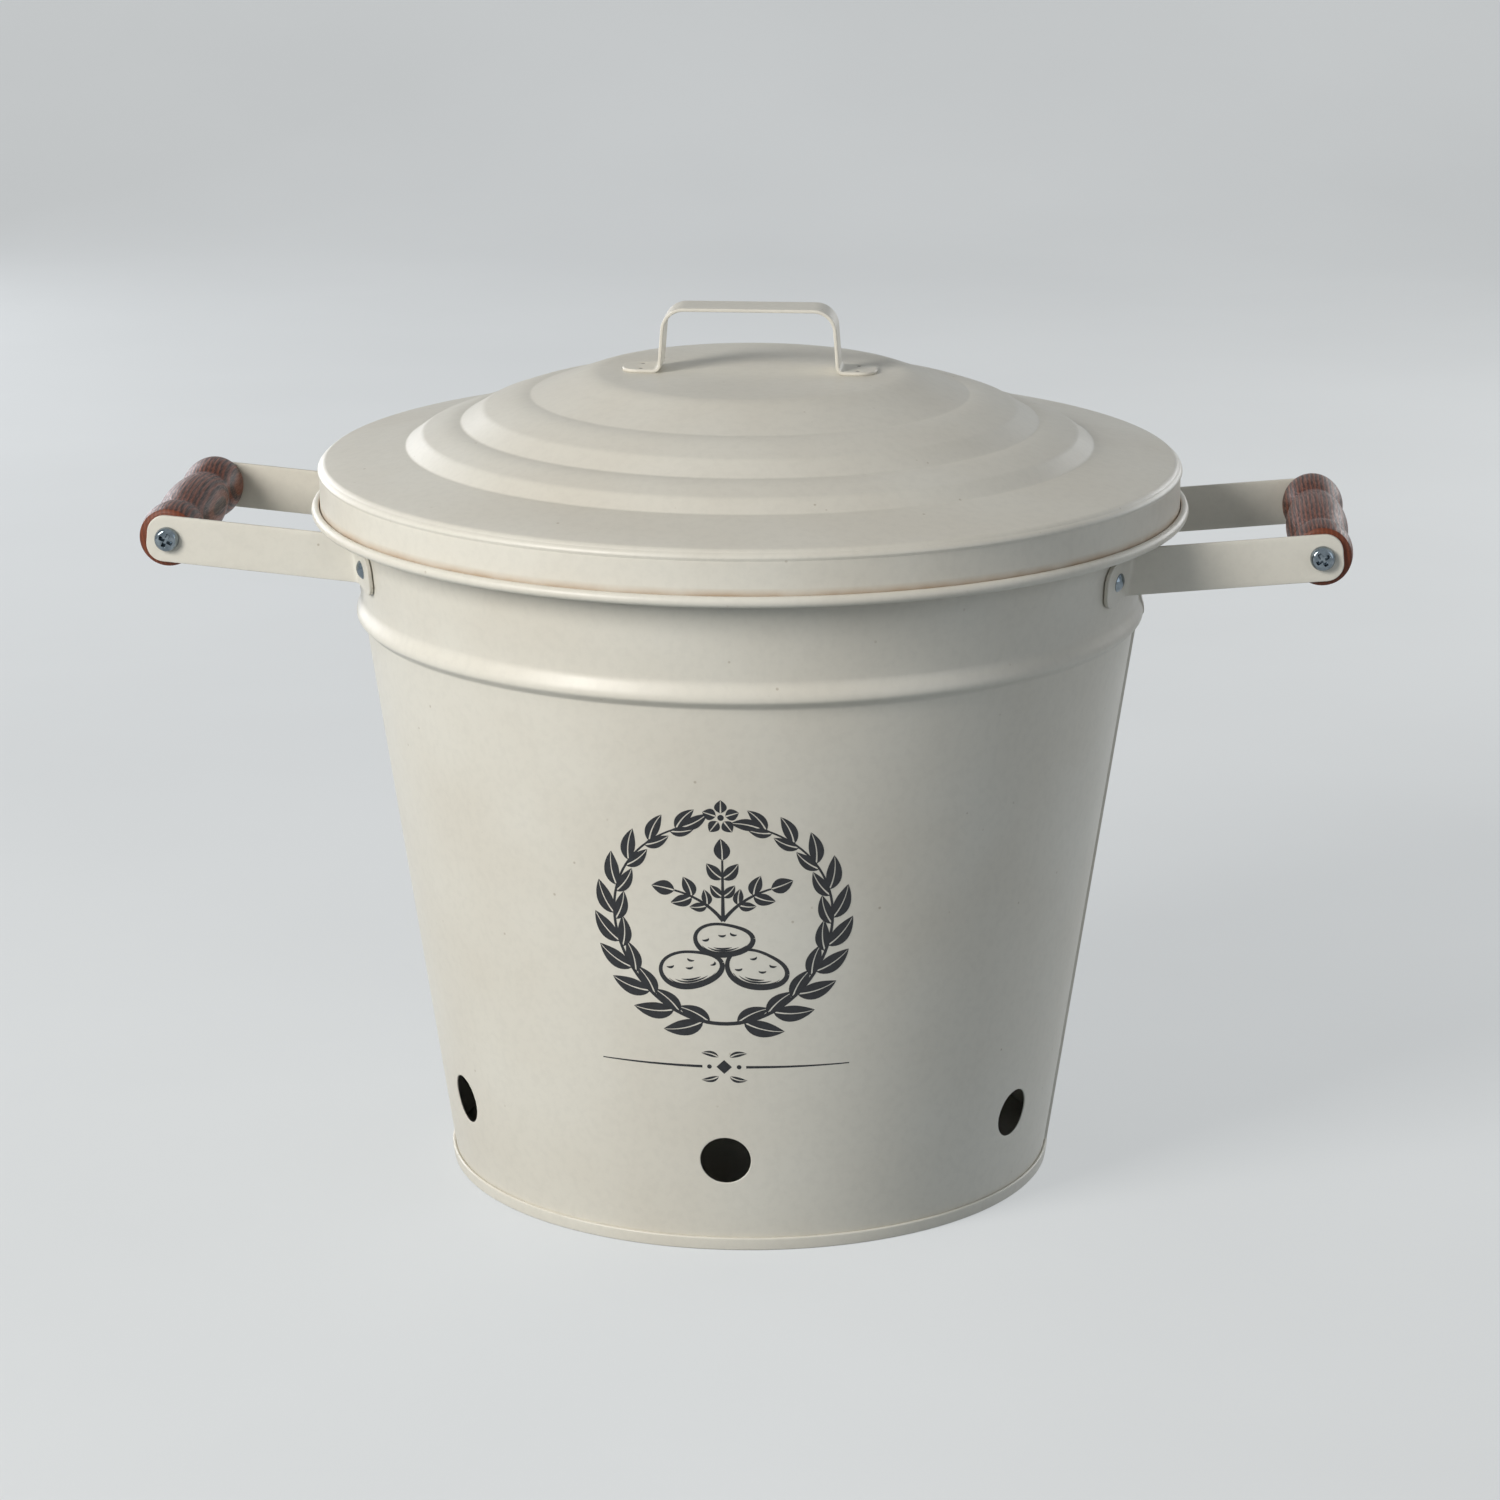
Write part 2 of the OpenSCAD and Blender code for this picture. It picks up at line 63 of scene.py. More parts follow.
def addNode(tree, kind, inputs=None, stops=(), **settings):
    # One node with its settings, its ramp's stops and its links
    node = tree.nodes.new("ShaderNode" + kind)
    for name, value in settings.items():
        setattr(node, name, value)
    if stops:
        elements = node.color_ramp.elements
        while len(elements) < len(stops):
            elements.new(0.5)
        for element, (position, colour) in zip(elements, stops):
            element.position = position
            element.color = linearColour(colour) if isinstance(colour, str) else (colour, colour, colour, 1)
    feed(node, inputs or {})
    return node


def newMaterial(name):
    material = bpy.data.materials.new(name)
    material.use_nodes = True
    add = partial(addNode, material.node_tree)
    return material, add, material.node_tree.nodes["Principled BSDF"], add("TexCoord").outputs["Object"]


def addObject(name, data):
    made = bpy.data.objects.new(name, data)
    bpy.context.scene.collection.objects.link(made)
    return made


def makePiece(name, verts, faces, material, body, sharpAngle=40, replaced=()):
    mesh = bpy.data.meshes.new(name)
    mesh.from_pydata([Vector(v) * mm for v in verts], [], faces)
    piece = addObject(name, mesh)
    tidyMesh(mesh)
    mesh.shade_smooth()
    mesh.set_sharp_from_angle(angle=radians(sharpAngle))
    mesh.materials.append(material)
    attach(piece, body)
    if replaced:
        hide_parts(*replaced)


def tidyMesh(mesh):
    # Joins points that coincide and turns every face outwards
    work = bmesh.new()
    work.from_mesh(mesh)
    bmesh.ops.remove_doubles(work, verts=work.verts, dist=1e-6)
    bmesh.ops.dissolve_degenerate(work, edges=work.edges, dist=1e-7)
    bmesh.ops.recalc_face_normals(work, faces=work.faces)
    work.to_mesh(mesh)
    work.free()


coatLook = {
    "cream": "#DBD7CB",        # the powder's own colour
    "pale": "#DEDBD0",         # where the coat lies thick
    "deep": "#D7D2C5",         # where it lies thin
    "speck": "#9C8E78",        # dust specks baked into the coat
    "grooveShade": "#A8865E",      # painted shade: a warm brown darkening down in the lid's groove
    "bare": "#3B2A20",         # browned steel in the pinholes of the spot welds
    "peelSize": 1.8,           # mm from crest to crest of the orange peel
    "cloudSize": 70,           # mm across the soft patches of thicker coat
    "mottleSize": 3.2,         # mm across the fine mottling that storage and wiping leave
    "speckEvery": 7,           # mm between specks, where there are any
    "speckPatch": 9,           # mm across the patches that have them
    "rubSize": 18,             # mm across the patches rubbed a little brighter or duller
    "swaySize": 42,            # mm between the slow swells of rolled sheet
    "roughness": 0.4,
}


def creamPowderCoat(name="creamPowderCoat", extra=None):
    # Powder-coated steel, sprayed and baked: satin and even, with a faint orange peel and a few specks
    material, add, shader, place = newMaterial(name)
    look = coatLook
    cloud = add("TexNoise", {"Vector": place, "Scale": 1000 / look["cloudSize"]})
    tone = add("ValToRGB", {"Fac": cloud}, [(0.32, look["deep"]), (0.5, look["cream"]), (0.68, look["pale"])])
    mottle = add("TexNoise", {"Vector": place, "Scale": 1000 / look["mottleSize"], "Detail": 3,
        "Roughness": 0.6})
    mottleTone = add("ValToRGB", {"Fac": mottle}, [(0.34, 0.965), (0.56, 1.0)])
    toned = add("Mix", {"Factor": 1.0, "A": tone, "B": mottleTone}, data_type="RGBA", blend_type="MULTIPLY")
    grit = add("TexVoronoi", {"Vector": place, "Scale": 1000 / look["speckEvery"], "Randomness": 1})
    speckSpot = add("ValToRGB", {"Fac": grit}, [(0.05, 1.0), (0.085, 0.0)])
    fewNoise = add("TexNoise", {"Vector": place, "Scale": 1000 / look["speckPatch"], "Detail": 1})
    few = add("ValToRGB", {"Fac": fewNoise}, [(0.57, 0.0), (0.66, 0.55)])
    speckMask = add("Math", {0: speckSpot, 1: few}, operation="MULTIPLY")
    colour = add("Mix", {"Factor": speckMask, "A": toned, "B": linearColour(look["speck"])}, data_type="RGBA")
    rub = add("TexNoise", {"Vector": place, "Scale": 1000 / look["rubSize"], "Detail": 4, "Roughness": 0.6})
    rough = add("MapRange", {"Value": rub, "From Min": 0.3, "From Max": 0.7,
        "To Min": look["roughness"] - 0.04, "To Max": look["roughness"] + 0.06})
    peel = add("TexNoise", {"Vector": place, "Scale": 1000 / look["peelSize"], "Detail": 1})
    bump = add("Bump", {"Height": peel, "Strength": 0.1, "Distance": 0.0002})
    sway = add("TexNoise", {"Vector": place, "Scale": 1000 / look["swaySize"], "Detail": 1})
    dent = add("Bump", {"Height": sway, "Strength": 0.2, "Distance": 0.0006, "Normal": bump})
    feed(shader, {"Base Color": extra(add, place, colour) if extra else colour, "Roughness": rough,
        "Normal": dent, "IOR": 1.5})
    return material


def blackInk():
    # Screen-printed enamel ink: a hair glossier than the coat, slightly uneven where it lies thin
    material, add, shader, place = newMaterial("blackPrintInk")
    film = add("TexNoise", {"Vector": place, "Scale": 1000 / 1.4, "Detail": 3, "Roughness": 0.6})
    tone = add("ValToRGB", {"Fac": film}, [(0.35, "#1A1B1E"), (0.62, "#24262A")])
    rough = add("MapRange", {"Value": film, "To Min": 0.3, "To Max": 0.42})
    feed(shader, {"Base Color": tone, "Roughness": rough, "IOR": 1.5})
    return material


def zincPlate():
    # Bright zinc plate on pressed steel: a bluish mirror with a faint haze from barrel finishing
    material, add, shader, place = newMaterial("brightZincPlate")
    haze = add("TexNoise", {"Vector": place, "Scale": 1000 / 2.2, "Detail": 4, "Roughness": 0.6})
    tone = add("ValToRGB", {"Fac": haze}, [(0.3, "#68737B"), (0.7, "#949EA5")])
    rough = add("MapRange", {"Value": haze, "To Min": 0.05, "To Max": 0.13})
    scratch = add("TexNoise", {"Vector": place, "Scale": 1000 / 1.3, "Detail": 2})
    bump = add("Bump", {"Height": scratch, "Strength": 0.05, "Distance": 0.0001})
    feed(shader, {"Base Color": tone, "Roughness": rough, "Normal": bump, "Metallic": 1})
    return material


def drawnWire():
    # Plain drawn steel wire, seen only down the gap of its curl: dull and grey
    material, add, shader, place = newMaterial("drawnSteelWire")
    lines = add("TexNoise", {"Vector": place, "Scale": 1000 / 1.5, "Detail": 3})
    tone = add("ValToRGB", {"Fac": lines}, [(0.3, "#7C7E80"), (0.7, "#A4A6A8")])
    feed(shader, {"Base Color": tone, "Metallic": 1, "Roughness": 0.45})
    return material


woodLook = {
    "dark": "#170C0A",         # stain soaked into the open pores
    "mid": "#3C2018",
    "light": "#8E4D33",        # dense late wood that took little stain
    "thin": "#7E4026",         # edges and end grain rubbed back by the turner
    "poreLength": 11,          # mm, along the grip
    "poreWidth": 0.45,         # mm across
    "ringWidth": 1.5,          # mm between growth layers, which the lobes cut into contour lines
    "ringShare": 0.56,         # how far the layers rule the colour over the pores
    "roughness": 0.38,
}


def stainedWood():
    # Turned ring-porous hardwood, stained mahogany and waxed: dark streaks of open pores, a dull sheen
    material, add, shader, place = newMaterial("turnedStainedWood")
    look = woodLook
    across = 1000 / look["poreWidth"]
    stretch = add("Mapping", {"Vector": place, "Scale": (across, 1000 / look["poreLength"], across),
        "Rotation": (0.05, 0, 0.04)})
    pores = add("TexNoise", {"Vector": stretch, "Scale": 1, "Detail": 4, "Roughness": 0.65})
    # The layers stand nearly upright, so they run as straight lines along the top of a grip
    ringPlace = add("Mapping", {"Vector": place, "Rotation": (0.04, 0.16, 0.03), "Scale": (1, 0.3, 1)})
    rings = add("TexWave", {"Vector": ringPlace, "Scale": 1000 / look["ringWidth"] * 2 * pi / 20,
        "Distortion": 2.2, "Detail": 3, "Detail Scale": 0.5, "Detail Roughness": 0.55},
        wave_type="BANDS", bands_direction="X", wave_profile="SAW").outputs["Fac"]
    poreTone = add("ValToRGB", {"Fac": pores}, [(0.38, look["dark"]), (0.5, look["mid"]),
        (0.64, look["light"])])
    ringTone = add("ValToRGB", {"Fac": rings}, [(0.0, look["dark"]), (0.4, look["mid"]),
        (0.62, look["light"]), (0.88, look["light"]), (1.0, look["dark"])])
    mixed = add("Mix", {"Factor": look["ringShare"], "A": poreTone, "B": ringTone}, data_type="RGBA")
    # Rubbed-back rims: where the surface leans towards the ends of the grip the stain is thin
    facing = add("NewGeometry").outputs["Normal"]
    lean = add("SeparateXYZ", {"Vector": facing}).outputs["Y"]
    leanSize = add("Math", {0: lean}, operation="ABSOLUTE")
    rubbed = add("MapRange", {"Value": leanSize, "From Min": 0.3, "From Max": 0.8, "To Max": 0.6})
    final = add("Mix", {"Factor": rubbed, "A": mixed, "B": linearColour(look["thin"])}, data_type="RGBA")
    wander = add("TexNoise", {"Vector": place, "Scale": 1000 / 30, "Detail": 2})
    shade = add("ValToRGB", {"Fac": wander}, [(0.3, 0.8), (0.7, 1.0)])
    shaded = add("Mix", {"Factor": 1.0, "A": final, "B": shade}, data_type="RGBA", blend_type="MULTIPLY")
    rough = add("MapRange", {"Value": pores, "From Min": 0.35, "From Max": 0.65,
        "To Min": look["roughness"] + 0.16, "To Max": look["roughness"] - 0.06})
    height = add("Math", {0: pores, 1: rings}, operation="ADD")
    bump = add("Bump", {"Height": height, "Strength": 0.5, "Distance": 0.0002})
    feed(shader, {"Base Color": shaded, "Roughness": rough, "Normal": bump, "IOR": 1.5,
        "Specular IOR Level": 0.3})  # the wax is rubbed down to a thin film
    return material


cream = creamPowderCoat()
ink = blackInk()
zinc = zincPlate()
wire = drawnWire()
wood = stainedWood()
print("materials made")

# The wall: a cone rolled from one sheet, with a pressed swage, a lock seam and six vents
wall = {
    "rimD": 291, "height": 251.3, "baseD": 209, "sheet": 0.6,
    "beadR": 2.6, "freeEdge": -130,  # the rim's curl, and the angle at which it stops
    "swageZ": 195.4, "swageOut": 2.6, "swageLow": 3.6, "swageUp": 6.8,
    "hemH": 4.6, "seamW": 5.6, "seamOut": 1.0, "seamEndGap": 0.5,
    "ventN": 6, "ventD": 17, "ventZ": 33.5, "ventEdge": 0.22,
}
beadZ = wall["height"] - wall["beadR"]
beadCentre = wall["rimD"] / 2 - wall["beadR"]
taperGuess = atan((wall["rimD"] / 2 - 2 * wall["beadR"] + wall["sheet"] - wall["baseD"] / 2) / beadZ)
wallSlope = (beadCentre - (wall["beadR"] - wall["sheet"]) / cos(taperGuess) - wall["baseD"] / 2) / beadZ
taper = atan(wallSlope)


def wallR(z):
    return wall["baseD"] / 2 + wallSlope * z


def swageAt(z):
    crest = wall["swageZ"] + wall["swageLow"]
    if z < crest:
        share = (z - wall["swageZ"]) / wall["swageLow"]
    else:
        share = (crest + wall["swageUp"] - z) / wall["swageUp"]
    return wall["swageOut"] * (1 - cos(pi * min(max(share, 0), 1))) / 2


def arcPoints(centre, radius, first, last, steps):
    angles = [radians(first + (last - first) * i / steps) for i in range(steps + 1)]
    return [(centre[0] + radius * cos(a), centre[1] + radius * sin(a)) for a in angles]


def spread(first, last, steps):
    return [first + (last - first) * i / steps for i in range(steps + 1)]


def bandFaces(first, second):
    # Quads between two closed loops of as many points each
    count = len(first)
    return [(first[n], first[(n + 1) % count], second[(n + 1) % count], second[n]) for n in range(count)]


def curl(centre, beadR, sheet, root, free, steps):
    # An edge rolled round its wire, from its root to its free end: inner face, rounded end, outer face
    way = 1 if free > root else -1
    tip = arcPoints(centre, beadR - sheet / 2, free, free, 1)[0]
    inner = arcPoints(centre, beadR - sheet, root, free, steps)
    return (inner + arcPoints(tip, sheet / 2, free + way * 150, free + way * 30, 4)
            + arcPoints(centre, beadR, free, root, steps + 10))


def buildWall():
    ventHalfRows, ventRows, ventHalfCols = 11.9, 14, 5
    crest = wall["swageZ"] + wall["swageLow"]
    # Rows lie close together at the foot, round the vents and over the swage
    windowZ = spread(wall["ventZ"] - ventHalfRows, wall["ventZ"] + ventHalfRows, ventRows)
    heights = [0.65, 2.5, 4.7, 5.3, 9, 13, 17.5] + windowZ + spread(52, wall["swageZ"] - 4, 14)
    heights += spread(wall["swageZ"], crest, 12) + spread(crest, crest + wall["swageUp"], 18)[1:]
    heights += spread(crest + wall["swageUp"] + 5, 244, 5) + [245.3, 246.0]
    thick = wall["sheet"] / cos(taper)
    rows = [(wallR(z) + swageAt(z), z, "out") for z in heights]
    rows += [(r, z, "curl") for r, z in curl((beadCentre, beadZ), wall["beadR"], wall["sheet"],
                                             180 - math.degrees(taper), wall["freeEdge"], 30)]
    rows += [(wallR(z) + swageAt(z) - thick, z, "in") for z in reversed(heights)]
    seamHalf = wall["seamW"] / 2
    # The seam's own columns, as (mm across, share of its height), then the rest of the turn
    seamSteps = [(-4, 0), (-3.1, 0), (-2.86, 0.03), (-2.76, 0.15), (-2.68, 0.5), (-2.6, 0.85), (-2.45, 0.97),
                 (-2.1, 1), (-0.7, 1), (0.7, 1), (1.9, 0.99), (2.3, 0.94), (2.55, 0.8), (2.7, 0.45),
                 (2.8, 0.12), (3.1, 0), (4, 0)]
    cols = [(0, offset * seamHalf / 2.8, lift) for offset, lift in seamSteps]
    cols += [(2 * pi * i / roundSteps, 0, 0) for i in range(2, roundSteps - 1)]
    seamLow, seamTop = wall["hemH"] + wall["seamEndGap"], beadZ - wall["beadR"] - wall["seamEndGap"]
    verts, faces = [], []

    def addVert(r, azimuth, z):
        verts.append((r * cos(azimuth), r * sin(azimuth), z))
        return len(verts) - 1

    def wallVert(row, col):
        r, z, side = row
        azimuth, offset, lift = col
        if side == "out" and seamLow < z < seamTop:
            r += lift * (wall["seamOut"] - 0.25 * swageAt(z))
        return addVert(r, azimuth + offset / wallR(min(z, beadZ)), z)

    grid = [[wallVert(row, col) for col in cols] for row in rows]
    lowRow = sum(z < windowZ[0] - 0.01 for z in heights)
    windowRows = {"out": range(lowRow, lowRow + ventRows)}
    topIn = len(rows) - 1 - lowRow
    windowRows["in"] = range(topIn - ventRows, topIn)
    skip = set()
    vents = []
    for k in range(wall["ventN"]):
        angle = radians(-90 + 360 * k / wall["ventN"])
        middle = min(range(len(seamSteps), len(cols)),
                     key=lambda j: abs((cols[j][0] - angle + pi) % (2 * pi) - pi))
        vents.append((angle, middle))
        skip |= {(i, j) for side in windowRows.values() for i in side
                 for j in range(middle - ventHalfCols, middle + ventHalfCols)}
    for i in range(len(rows)):
        for j in range(len(cols)):
            if (i, j) not in skip:
                a, b = (i + 1) % len(rows), (j + 1) % len(cols)
                faces.append((grid[i][j], grid[i][b], grid[a][b], grid[a][j]))

    holeR, edge = wall["ventD"] / 2, wall["ventEdge"]
    shares = (0, 0.08, 0.22, 0.45, 0.72)
    for angle, middle in vents:
        loops = []
        for side, sideRows in windowRows.items():
            low, high = (sideRows[0], sideRows[-1] + 1) if side == "out" else (sideRows[-1] + 1, sideRows[0])
            rowStep = 1 if high > low else -1
            left, right = middle - ventHalfCols, middle + ventHalfCols
            around = [(low, j) for j in range(left, right)]
            around += [(i, right) for i in range(low, high, rowStep)]
            around += [(high, j) for j in range(right, left, -1)]
            around += [(i, left) for i in range(high, low, -rowStep)]
            border = []
            for i, j in around:
                x, y, z = verts[grid[i][j]]
                across = hypot(x, y) * sin(atan2(y, x) - angle)
                border.append((across, (z - wall["ventZ"]) / cos(taper)))
            depth = 0 if side == "out" else wall["sheet"]

            def ring(share, holeRadius, deep):
                made = []
                for across, up in border:
                    reach = hypot(across, up)
                    x = across * (share + (1 - share) * holeRadius / reach)
                    y = up * (share + (1 - share) * holeRadius / reach)
                    z = wall["ventZ"] + y * cos(taper)
                    r = wallR(z)
                    turned = asin(x / r)
                    made.append(addVert(r - deep / cos(taper), angle + turned, z))
                return made

            rings = [[grid[i][j] for i, j in around]]
            rings += [ring(share, holeR + edge, depth) for share in reversed(shares)]
            for step in (30, 60, 90):
                inward = edge * (1 - cos(radians(step)))
                rings.append(ring(0, holeR + edge * (1 - sin(radians(step))),
                                  inward if side == "out" else wall["sheet"] - inward))
            for first, second in zip(rings, rings[1:]):
                faces += bandFaces(first, second)
            loops.append(rings[-1])
        faces += bandFaces(*loops)
    makePiece("body_wall_coated", verts, faces, cream, "bin", 50, ["body_wall"])


buildWall()
print("wall built")

# The print on the front: a leaf wreath round a potato plant, drawn in mm on the unrolled wall
ornament = {
    "centreZ": 121, "scale": 1.12, "lift": 0.05, "sunk": 0.15, "wreathR": 32.5, "gapTop": 21, "crossing": 9,
    "leafLong": 12.4, "leafWide": 5.4, "vein": 0.5, "stem": 1.2, "leavesEachSide": 10,
    "outline": 1.35, "hatch": 0.62, "ruleLong": 31, "ruleDrop": 47.5,
}
inkParts = []


def inkPlate(left, right):
    # Area between two lines of as many points each
    inkParts.append((list(left), list(right)))


def inkStroke(points, width):
    # Line along the points; width is a function of how far along, from 0 to 1
    left, right = [], []
    for i, point in enumerate(points):
        before, after = Vector(points[max(i - 1, 0)]), Vector(points[min(i + 1, len(points) - 1)])
        along = (after - before).normalized()
        half = Vector((-along.y, along.x)) * width(i / (len(points) - 1)) / 2
        left.append(Vector(point) + half)
        right.append(Vector(point) - half)
    inkPlate(left, right)


def taperedWidth(width):
    return lambda t: width * max(sin(pi * t), 0.06) ** 0.7


def inkLeaf(root, heading, length, width, bend=0.25):
    # Two halves with a bare midrib between them, the tip drawn out and the whole leaf bent a little
    for side in (1, -1):
        inner, outer = [], []
        for i in range(13):
            t = i / 12
            turned = heading + bend * (t - 0.3)
            middle = Vector(root) + Vector((cos(turned), sin(turned))) * length * t
            across = Vector((-sin(turned), cos(turned))) * side
            half = max(width / 2 * sin(pi * t ** 0.85) ** 0.85 if 0 < t < 1 else 0, 0.02)
            vein = min(ornament["vein"] / 2 * (1 - 0.6 * t), half / 2)
            inner.append(middle + across * vein)
            outer.append(middle + across * half)
        inkPlate(inner, outer)


def inkDot(centre, radius):
    angles = [pi * i / 10 for i in range(11)]
    inkPlate([(centre[0] + radius * cos(a), centre[1] + radius * sin(a)) for a in angles],
             [(centre[0] + radius * cos(a), centre[1] - radius * sin(a)) for a in angles])


def drawWreath():
    o = ornament
    first, last = radians(-90 - o["crossing"]), radians(90 - o["gapTop"])
    for side in (1, -1):

        def onStem(a):
            r = o["wreathR"] + 0.7 * sin(3 * a)
            return Vector((side * r * cos(a), r * sin(a)))

        inkStroke([onStem(a) for a in spread(first, last, 48)], lambda t: o["stem"] * (1 - 0.55 * t))
        for n in range(o["leavesEachSide"]):
            share = (n + 1.1) / (o["leavesEachSide"] + 0.4)
            a = first + (last - first) * share
            grow = 1 - 0.35 * share ** 3
            forward = a + pi / 2
            for out in (1, -1):
                away = forward - out * radians(36 if out > 0 else 30)
                heading = away if side > 0 else pi - away
                size = grow * (1 if out > 0 else 0.86)
                inkLeaf(onStem(a + 0.03 * out), heading, o["leafLong"] * size, o["leafWide"] * size,
                        0.3 * out * side)
        tip = last + pi / 2
        inkLeaf(onStem(last), tip if side > 0 else pi - tip, o["leafLong"] * 0.72, o["leafWide"] * 0.7)


def drawPotato(centre, long, wide, tilt, eyes):
    # Outline a little lopsided, with eyes as short curved marks and shading lines along the lower side
    def at(angle, share=1):
        swell = 1 + 0.07 * cos(2 * angle + 0.6) + 0.04 * cos(3 * angle)
        x, y = long / 2 * cos(angle) * swell * share, wide / 2 * sin(angle) * swell * share
        return Vector((centre[0] + x * cos(tilt) - y * sin(tilt), centre[1] + x * sin(tilt) + y * cos(tilt)))

    inkStroke([at(a) for a in spread(0, 2 * pi, 48)],
              lambda t: ornament["outline"] * (1 + 0.35 * sin(2 * pi * t + 3)))
    for n, share in enumerate((0.86, 0.73, 0.6)):
        start, end = radians(205 - tilt * 20 + 14 * n), radians(335 - tilt * 20 - 16 * n)
        inkStroke([at(a, share) for a in spread(start, end, 18)], taperedWidth(ornament["hatch"]))
    for angle, share, turn in eyes:
        spot = at(radians(angle), share)
        arc = spread(1.1 * pi + turn, 1.9 * pi + turn, 8)
        inkStroke([spot + Vector((1.15 * cos(a), 0.7 * sin(a))) for a in arc], taperedWidth(0.72))


# Each potato's centre, length, width, tilt, and its eyes as angle, share of the way out, and turn
potatoes = (
    ((-9.6, -15.5), 17.5, 12, 14, ((150, 0.72, 0.4), (75, 0.6, -0.5), (100, 0.15, 0.3), (8, 0.7, 1))),
    ((9.8, -15.2), 17, 12.4, -12, ((35, 0.7, -0.4), (110, 0.62, 0.5), (190, 0.62, 0.2), (0, 0.2, 0))),
    ((0.2, -5.6), 16, 10.6, 3, ((40, 0.6, -0.6), (172, 0.66, 0.5), (95, 0.35, 0.1))),
)


def drawPlant():
    # A shoot with its leaflets in pairs over three potatoes
    for centre, long, wide, tilt, eyes in potatoes:
        drawPotato(centre, long, wide, radians(tilt), eyes)
    root = Vector((0.3, 0.4))
    for lean, long in ((0.0, 19.5), (0.72, 17.5), (-0.76, 17)):
        line = [root + Vector((sin(lean * (0.8 + 0.5 * t)), cos(lean * (0.8 + 0.5 * t)))) * long * t
                for t in spread(0, 1, 20)]
        inkStroke(line, lambda t: 1.15 * (1 - 0.5 * t))
        for share, size in ((0.42, 0.7), (0.7, 0.9)):
            i = round(share * 20)
            along = line[i + 1] - line[i]
            heading = atan2(along.y, along.x)
            for side in (1, -1):
                inkLeaf(line[i], heading + side * radians(56), 7.4 * size, 4.4 * size, -0.3 * side)
        along = line[-1] - line[-2]
        inkLeaf(line[-1], atan2(along.y, along.x), 7, 4.8, 0.1)


def drawBlossom(centre, radius):
    # Five joined petals round a dotted heart
    for n in range(5):
        heading = radians(90 + 72 * n)
        inkLeaf(Vector(centre) + Vector((cos(heading), sin(heading))) * radius * 0.26, heading, radius * 0.74,
                radius * 0.66, 0)
    inkDot(centre, radius * 0.17)


def drawRule():
    # Two tapering rules either side of a lozenge, with dots
    o, y = ornament, -ornament["ruleDrop"]
    for side in (1, -1):
        inkStroke([(side * (6.5 + o["ruleLong"] * t), y) for t in spread(0, 1, 12)],
                  lambda t: 0.85 * (1 - 0.6 * t))
        inkDot((side * 4.4, y), 0.7)
        inkLeaf((side * 1.7, y + 3.2), radians(90 - side * 60), 5.2, 1.9, -0.4 * side)
        inkLeaf((side * 1.7, y - 3.2), radians(-90 + side * 60), 5.2, 1.9, 0.4 * side)
    inkPlate([(-2.3, y), (0, y + 2.3), (2.3, y)], [(-2.3, y), (0, y - 2.3), (2.3, y)])


def wrapInk():
    # Each plate becomes a thin closed film that follows the cone, its underside inside the sheet
    verts, faces = [], []
    for left, right in inkParts:
        first, count = len(verts), len(left)
        for depth in (ornament["lift"], -ornament["sunk"]):
            for line in (left, right):
                for x, y in line:
                    z = ornament["centreZ"] + y * ornament["scale"] * cos(taper)
                    r = wallR(z) + depth / cos(taper)
                    azimuth = radians(-90) + x * ornament["scale"] / wallR(z)
                    verts.append((r * cos(azimuth), r * sin(azimuth), z))
        a, b, c, d = (first + count * k for k in range(4))
        for i in range(count - 1):
            faces += [(a + i, a + i + 1, b + i + 1, b + i), (c + i, d + i, d + i + 1, c + i + 1),
                      (a + i, c + i, c + i + 1, a + i + 1), (b + i, b + i + 1, d + i + 1, d + i)]
        faces += [(a, b, d, c), (a + count - 1, c + count - 1, d + count - 1, b + count - 1)]
    makePiece("front_ornament_print", verts, faces, ink, "bin", 30)


drawWreath()
drawPlant()
drawBlossom((0, 33.5), 5.6)
drawRule()
wrapInk()
print("print drawn")


def revolved(section, turn, closed):
    # Section points (r, z) turned round the Z axis; a point on the axis is shared
    verts, faces, rings = [], [], []
    for r, z in section:
        if r < 1e-6:
            verts.append((0, 0, z))
            rings.append([len(verts) - 1] * turn)
        else:
            first = len(verts)
            verts += [(r * cos(2 * pi * k / turn), r * sin(2 * pi * k / turn), z) for k in range(turn)]
            rings.append(list(range(first, first + turn)))
    pairs = list(zip(rings, rings[1:])) + ([(rings[-1], rings[0])] if closed else [])
    for low, high in pairs:
        shared = [list(dict.fromkeys(face)) for face in bandFaces(low, high)]
        faces += [face for face in shared if len(face) > 2]
    return verts, faces


# The bottom: a pressed pan whose edge folds down, under the wall and up outside it as a bead
pan = {"floorZ": 3.4, "sheet": 0.6, "gap": 0.05, "beadR": 0.6, "bendR": 1.0}


